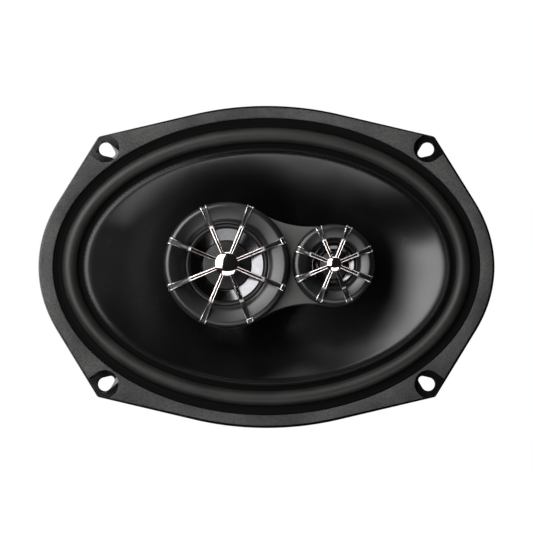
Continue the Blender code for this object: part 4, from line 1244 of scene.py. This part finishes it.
# %% [markdown]
# Inside each pod is a motor like the big one in small: a steel cup, a disc magnet, a plate over
# it and a coil in the gap. One table gives each piece's outline, finish, body and CAD part.

# %% Turn the small motors
motor_front = -10.4


def small_motor(name, x, cup, magnet_radius, coil_front, wall_thickness):
    gap = cup - wall_thickness
    pole = gap - 1.6
    floor = pod_rear - 1.8
    back = pod_rear - 0.2
    pieces = [
        ("cup", [(0, back), (cup - 0.8, back), (cup - 0.2, back - 0.2), (cup, back - 0.8),
                 (cup, motor_front), (gap, motor_front), (gap, floor), (0, floor)],
         zinc, "zinc_plate", "yoke", "root", True),
        ("magnet_disc", [(0, motor_front + 2.1), (magnet_radius - 0.2, motor_front + 2.1),
                         (magnet_radius, motor_front + 2.3), (magnet_radius, floor - 0.5),
                         (magnet_radius - 0.2, floor - 0.3), (0, floor - 0.3)],
         nickel, "nickel_magnet", "magnet", "root", True),
        ("pole", [(0, motor_front), (pole - 0.2, motor_front), (pole, motor_front + 0.2),
                  (pole, motor_front + 1.8), (0, motor_front + 1.8)],
         zinc, "zinc_plate", "pole_plate", "root", True),
        ("former", [(pole + 0.3, coil_front), (pole + 0.55, coil_front),
                    (pole + 0.55, motor_front + 3.6), (pole + 0.3, motor_front + 3.6)],
         amber, "former_film", "coil_former", name, False),
        ("coil", scallops(pole + 0.85, pole + 1.2, motor_front + 0.4, motor_front + 3.6, 10),
         copper, "coil_copper", "winding", name, False),
    ]
    for part, line, material, slot, node, body, solid in pieces:
        made = turned(f"{name}_{part}", line, x, steps=72, ends_on_axis=solid)
        finish(made, material, slot, body, f"{name}_{node}")


small_motor("midrange", mid_x, 13.0, 8.2, -12.0, 2.2)
small_motor("tweeter", tweeter_x, 9.6, 5.4, -13.8, 1.7)
print("both small motors are in their pods")

# %% [markdown]
# The midrange has a cone of smoked film round a black cap. The tweeter has a silk dome in a
# ring of the same film. Both edges are thin skins that bend between pod and diaphragm.

# %% Turn the small diaphragms
lip_y = pod_front + lip_rear + 0.3


def at_lip(line):
    """Depths in the outlines below count from just behind the pod's lip."""
    return [(radius, lip_y + y) for radius, y in line]


def follows_inwards(x, outer, inner):
    """How far a point follows the diaphragm, from the outer radius to the inner one."""
    return lambda points: (outer - np.hypot(points[:, 0] - x, points[:, 2])) / (outer - inner)


mid_edge = smooth_line([(23.6, 0.3), (22.2, 0.3), (21.3, 0.2), (20.6, -0.45), (19.8, -0.4),
                        (19.2, 0.4), (18.6, 0.75), (17.6, 0.95)], 5)
mid_surround = turned("midrange_edge", wall_of(at_lip(mid_edge), 0.3), mid_x, steps=128)
flexes(mid_surround, rubber, "surround_rubber", "midrange_surround",
       follows_inwards(mid_x, 21.2, 19.2))
mid_skin = at_lip([(18.6, -0.1), (16.0, 0.65), (13.0, 1.6), (10.15, 2.6), (10.15, 2.9),
                   (13.0, 1.9), (16.0, 0.95), (18.6, 0.2)])
mid_cone = turned("midrange_diaphragm", mid_skin, mid_x, steps=128)
finish(mid_cone, film, "metallised_film", "midrange", "midrange_cone")
mid_cap = at_lip([(0.0, -1.0), (3.5, -0.86), (7.0, -0.35), (10.0, 0.2), (12.2, 0.75),
                  (12.4, 1.0), (12.1, 1.15), (10.0, 0.6), (7.0, 0.05), (3.5, -0.45),
                  (0.0, -0.6)])
cap = turned("midrange_cap", mid_cap, mid_x, steps=96, ends_on_axis=True)
finish(cap, silk, "cone_plastic", "midrange", "midrange_dust_cap")

tweeter_edge = smooth_line([(13.8, 0.3), (12.3, 0.3), (11.6, 0.2), (11.0, -0.1),
                            (10.2, -0.05), (8.9, 0.3), (8.2, 0.5), (7.6, 0.6)], 5)
tweeter_surround = turned("tweeter_edge", wall_of(at_lip(tweeter_edge), 0.24), tweeter_x,
                          steps=96)
flexes(tweeter_surround, film, "metallised_film", "tweeter_surround",
       follows_inwards(tweeter_x, 11.2, 8.2))
dome_front = smooth_line([(0.0, -2.4), (1.7, -2.28), (3.2, -1.9), (4.5, -1.4), (5.6, -0.8),
                          (7.1, 0.1)], 3)
dome_rear = [(radius, y + 0.4) for radius, y in dome_front[::-1]]
dome = turned("tweeter_silk_dome", at_lip(list(map(tuple, dome_front)) + dome_rear), tweeter_x,
              steps=96, ends_on_axis=True)
finish(dome, silk, "tweeter_dome", "tweeter", "tweeter_dome")
print("midrange: edge, cone and cap; tweeter: edge and dome")

# %% [markdown]
# ## The guards
# A chromed guard with eight arms protects each diaphragm. An arm starts narrow at the hub,
# widens as it crosses the ring, and becomes a channel with two raised rails and a floor
# darkened by painted shade, black and matt. One arm is swept along its curve, and the tree sets
# it eight times round the hub. An arm could be copied by hand, but the count and the turn stay
# easy to change this way.

# %% Sweep an arm and set it round the hub
arm_thickness, guard_lift, arms = 1.0, 0.8, 8
# An arm ends on the pod's shoulder; its rails stand up over the last part of its length
tip_angle = math.radians(45)
groove_start, groove_blend, groove_depth, rail_width = 0.62, 0.16, 0.5, 0.8
# Painted shade on the channel floor: where it starts, its half width and its margin from the tip
shade_start, shade_half_width, shade_margin = 0.66, 1.25, 0.2


def arm_middle(radius, hub_radius):
    """The arm's centre line as (distance from the axis, y), with its width at each point."""
    crest = radius - pod_round
    line = [(hub_radius * 0.5, pod_front - 1.8, 1.8), (radius * 0.66, pod_front - 1.2, 2.3)]
    for degrees, width in ((90, 3.1), (75, 3.5), (60, 3.7), (45, 3.8)):
        t = math.radians(degrees)
        line.append((crest + (pod_round + guard_lift) * math.cos(t),
                     pod_front + pod_dome - (pod_dome + guard_lift) * math.sin(t), width))
    return np.array(smooth_line(line, 8))


def arm_section(width, groove):
    """Half widths across the arm and heights above its middle, front side first."""
    half, rail = width / 2, min(rail_width, width * 0.29)
    top, foot = arm_thickness / 2, -arm_thickness / 2
    side = [(half - rail - 0.05, top - groove)]
    for degrees in (150, 120, 90, 60, 30):
        t = math.radians(degrees)
        side.append((half - rail / 2 + rail / 2 * math.cos(t), top - 0.45 * (1 - math.sin(t))))
    side += [(half, foot + 0.15), (half - 0.15, foot)]
    return [(-u, n) for u, n in side[::-1]] + side


def arm(name, radius, hub_radius):
    line = arm_middle(radius, hub_radius)
    ahead = np.gradient(line[:, :2], axis=0)
    ahead /= np.linalg.norm(ahead, axis=1)[:, None]
    loops = []
    for (r, y, width), (dr, dy) in zip(line, ahead):
        share = np.clip((r - radius * groove_start) / (radius * groove_blend), 0.0, 1.0)
        groove = groove_depth * eased(share)
        # The front of the arm faces away from the pod
        loops.append([(r + n * dy, y - n * dr, u) for u, n in arm_section(width, groove)])
    first, last = ([(*line[k][:2], 0.0)] * len(loops[0]) for k in (0, -1))
    made = loft(name, [first] + loops + [last])
    shade_channel(made, radius)
    return made


def shade_channel(made, radius):
    """Marks the floor of the channel for painted shade, from where it opens to just short of the
    tip.
    """
    points = points_of(made)
    middle = np.abs(points[:, 2]) < shade_half_width
    outside = points[:, 0] > radius * shade_start
    tip = radius - pod_round + (pod_round + guard_lift) * math.cos(tip_angle)
    short_of_tip = points[:, 0] < tip - shade_margin
    normals = np.array([vertex.normal for vertex in made.data.vertices])
    facing = normals[:, 1] < 0.35
    mark_painted_shade(made, middle & outside & short_of_tip & facing)


def hub_line(hub_radius):
    """A short collar and a dome, from its rear centre to its front one."""
    top = pod_front - 0.5
    line = [(0.0, top - 0.2), (hub_radius - 0.7, top - 0.2), (hub_radius, top - 0.9)]
    line += [(hub_radius * share, top - rise) for share, rise in (
        (0.93, 1.5), (0.8, 2.0), (0.6, 2.42), (0.4, 2.65), (0.2, 2.78), (0.0, 2.8))]
    return smooth_line(line, 3)


for name, x, radius, hub_radius in (("midrange", mid_x, mid_radius, 6.5),
                                    ("tweeter", tweeter_x, tweeter_radius, 4.3)):
    guard = around(arm(f"{name}_guard_fine", radius, hub_radius), arms, x, math.pi / arms, chrome)
    hub = turned("hub", hub_line(hub_radius), x, steps=64, ends_on_axis=True)
    guard = joined([guard, hub])
    finish(guard, chrome, "guard_chrome", "root", f"{name}_guard", crease=45)
    print(guard.name, len(guard.data.polygons), "faces")

# %% [markdown]
# ## Floor, light and camera
# The floor is plain and pale, glows a little so that it matches the sky behind it, and lies
# well below the speaker. The sky is white to look at and dim as a light, or it would wash out
# the gloss. A large soft box stands to the front left; its edge draws the sharp top of the
# bright patch on the right of the cone. Two weaker boxes fill in from below and behind.

# %% Floor
def floor_plane(depth=-0.3, reach=14.0):
    bm = bmesh.new()
    dots = [bm.verts.new((x * reach, y * reach, depth))
            for x, y in ((-1, -1), (1, -1), (1, 1), (-1, 1))]
    bm.faces.new(dots)
    mesh = bpy.data.meshes.new("studio_floor")
    bm.to_mesh(mesh)
    bm.free()
    return add_object("studio_floor", mesh)


paint = make_finish("white_studio_paint", "#f6f6f6", "#f0f0f0", 0.8, (2.0, 0.01), patch=400.0,
                    Emission_Color=(1, 1, 1, 1), Emission_Strength=0.75)
floor = floor_plane()
floor.data.materials.append(paint)
# The speaker's gloss shows only the sky and the soft boxes, as if the floor were far away
floor.visible_glossy = False
print("floor is in place")

# %% Sky and soft boxes
def sky(seen, front, behind):
    """A pale sky to look at; as a light it is darker in front of the speaker than behind."""
    world = bpy.data.worlds.new("studio_sky")
    bpy.context.scene.world = world
    world.use_nodes = True
    tree = world.node_tree
    base = tree.nodes["Background"]
    place = add_node(tree, "ShaderNodeTexCoord").outputs["Generated"]
    split = add_node(tree, "ShaderNodeSeparateXYZ", {0: place})
    lit = add_node(tree, "ShaderNodeMapRange",
                   {"Value": split.outputs["Y"], "From Min": -0.1, "From Max": 0.3,
                    "To Min": front, "To Max": behind}, interpolation_type="SMOOTHSTEP")
    looked_at = add_node(tree, "ShaderNodeLightPath").outputs["Is Camera Ray"]
    strength = add_node(tree, "ShaderNodeMix",
                        {0: looked_at, 2: lit.outputs[0], 3: seen}, data_type="FLOAT")
    tree.links.new(strength.outputs[0], base.inputs["Strength"])
    base.inputs["Color"].default_value = (1.0, 1.0, 1.0, 1.0)


def soft_box(name, azimuth, elevation, distance, width, height, radiance):
    """A soft box aimed at the speaker; azimuth 0 is in front, positive is to the right."""
    a, e = math.radians(azimuth), math.radians(elevation)
    light = bpy.data.lights.new(name, "AREA")
    light.shape = "RECTANGLE"
    light.size, light.size_y = width, height
    light.energy = radiance * math.pi * width * height
    made = add_object(name, light)
    made.location = (distance * math.sin(a) * math.cos(e), -distance * math.cos(a) * math.cos(e),
                     distance * math.sin(e))
    made.rotation_euler = (-made.location).to_track_quat("-Z", "Y").to_euler()
    made.visible_camera = False


sky(seen=1.0, front=0.012, behind=0.8)
soft_box("key_left", azimuth=-38, elevation=18, distance=0.58, width=0.5, height=0.6,
         radiance=8.2)
soft_box("low_fill", azimuth=12, elevation=-44, distance=0.9, width=1.0, height=0.62,
         radiance=3.0)
soft_box("rim_behind", azimuth=20, elevation=70, distance=1.4, width=0.9, height=0.5,
         radiance=2.0)
print("sky and three soft boxes")

# %% Camera
camera_data = bpy.data.cameras.new("camera")
camera = add_object("camera", camera_data)
# frame_share is how much of the view's width the flange takes
distance, elevation, frame_share = 1.4, math.radians(-3.5), 0.855
camera.location = Vector((0.0, -math.cos(elevation), math.sin(elevation))) * distance
camera.rotation_euler = (-camera.location).to_track_quat("-Z", "Y").to_euler()
camera_data.sensor_width = 36.0
camera_data.lens = camera_data.sensor_width * distance / (2 * half_width * MM / frame_share)
camera_data.clip_start = 0.05
camera_data.clip_end = 60.0
bpy.context.scene.camera = camera
bpy.context.scene.view_settings.view_transform = "Standard"
print(f"lens {camera_data.lens:.0f} mm at {distance} m")
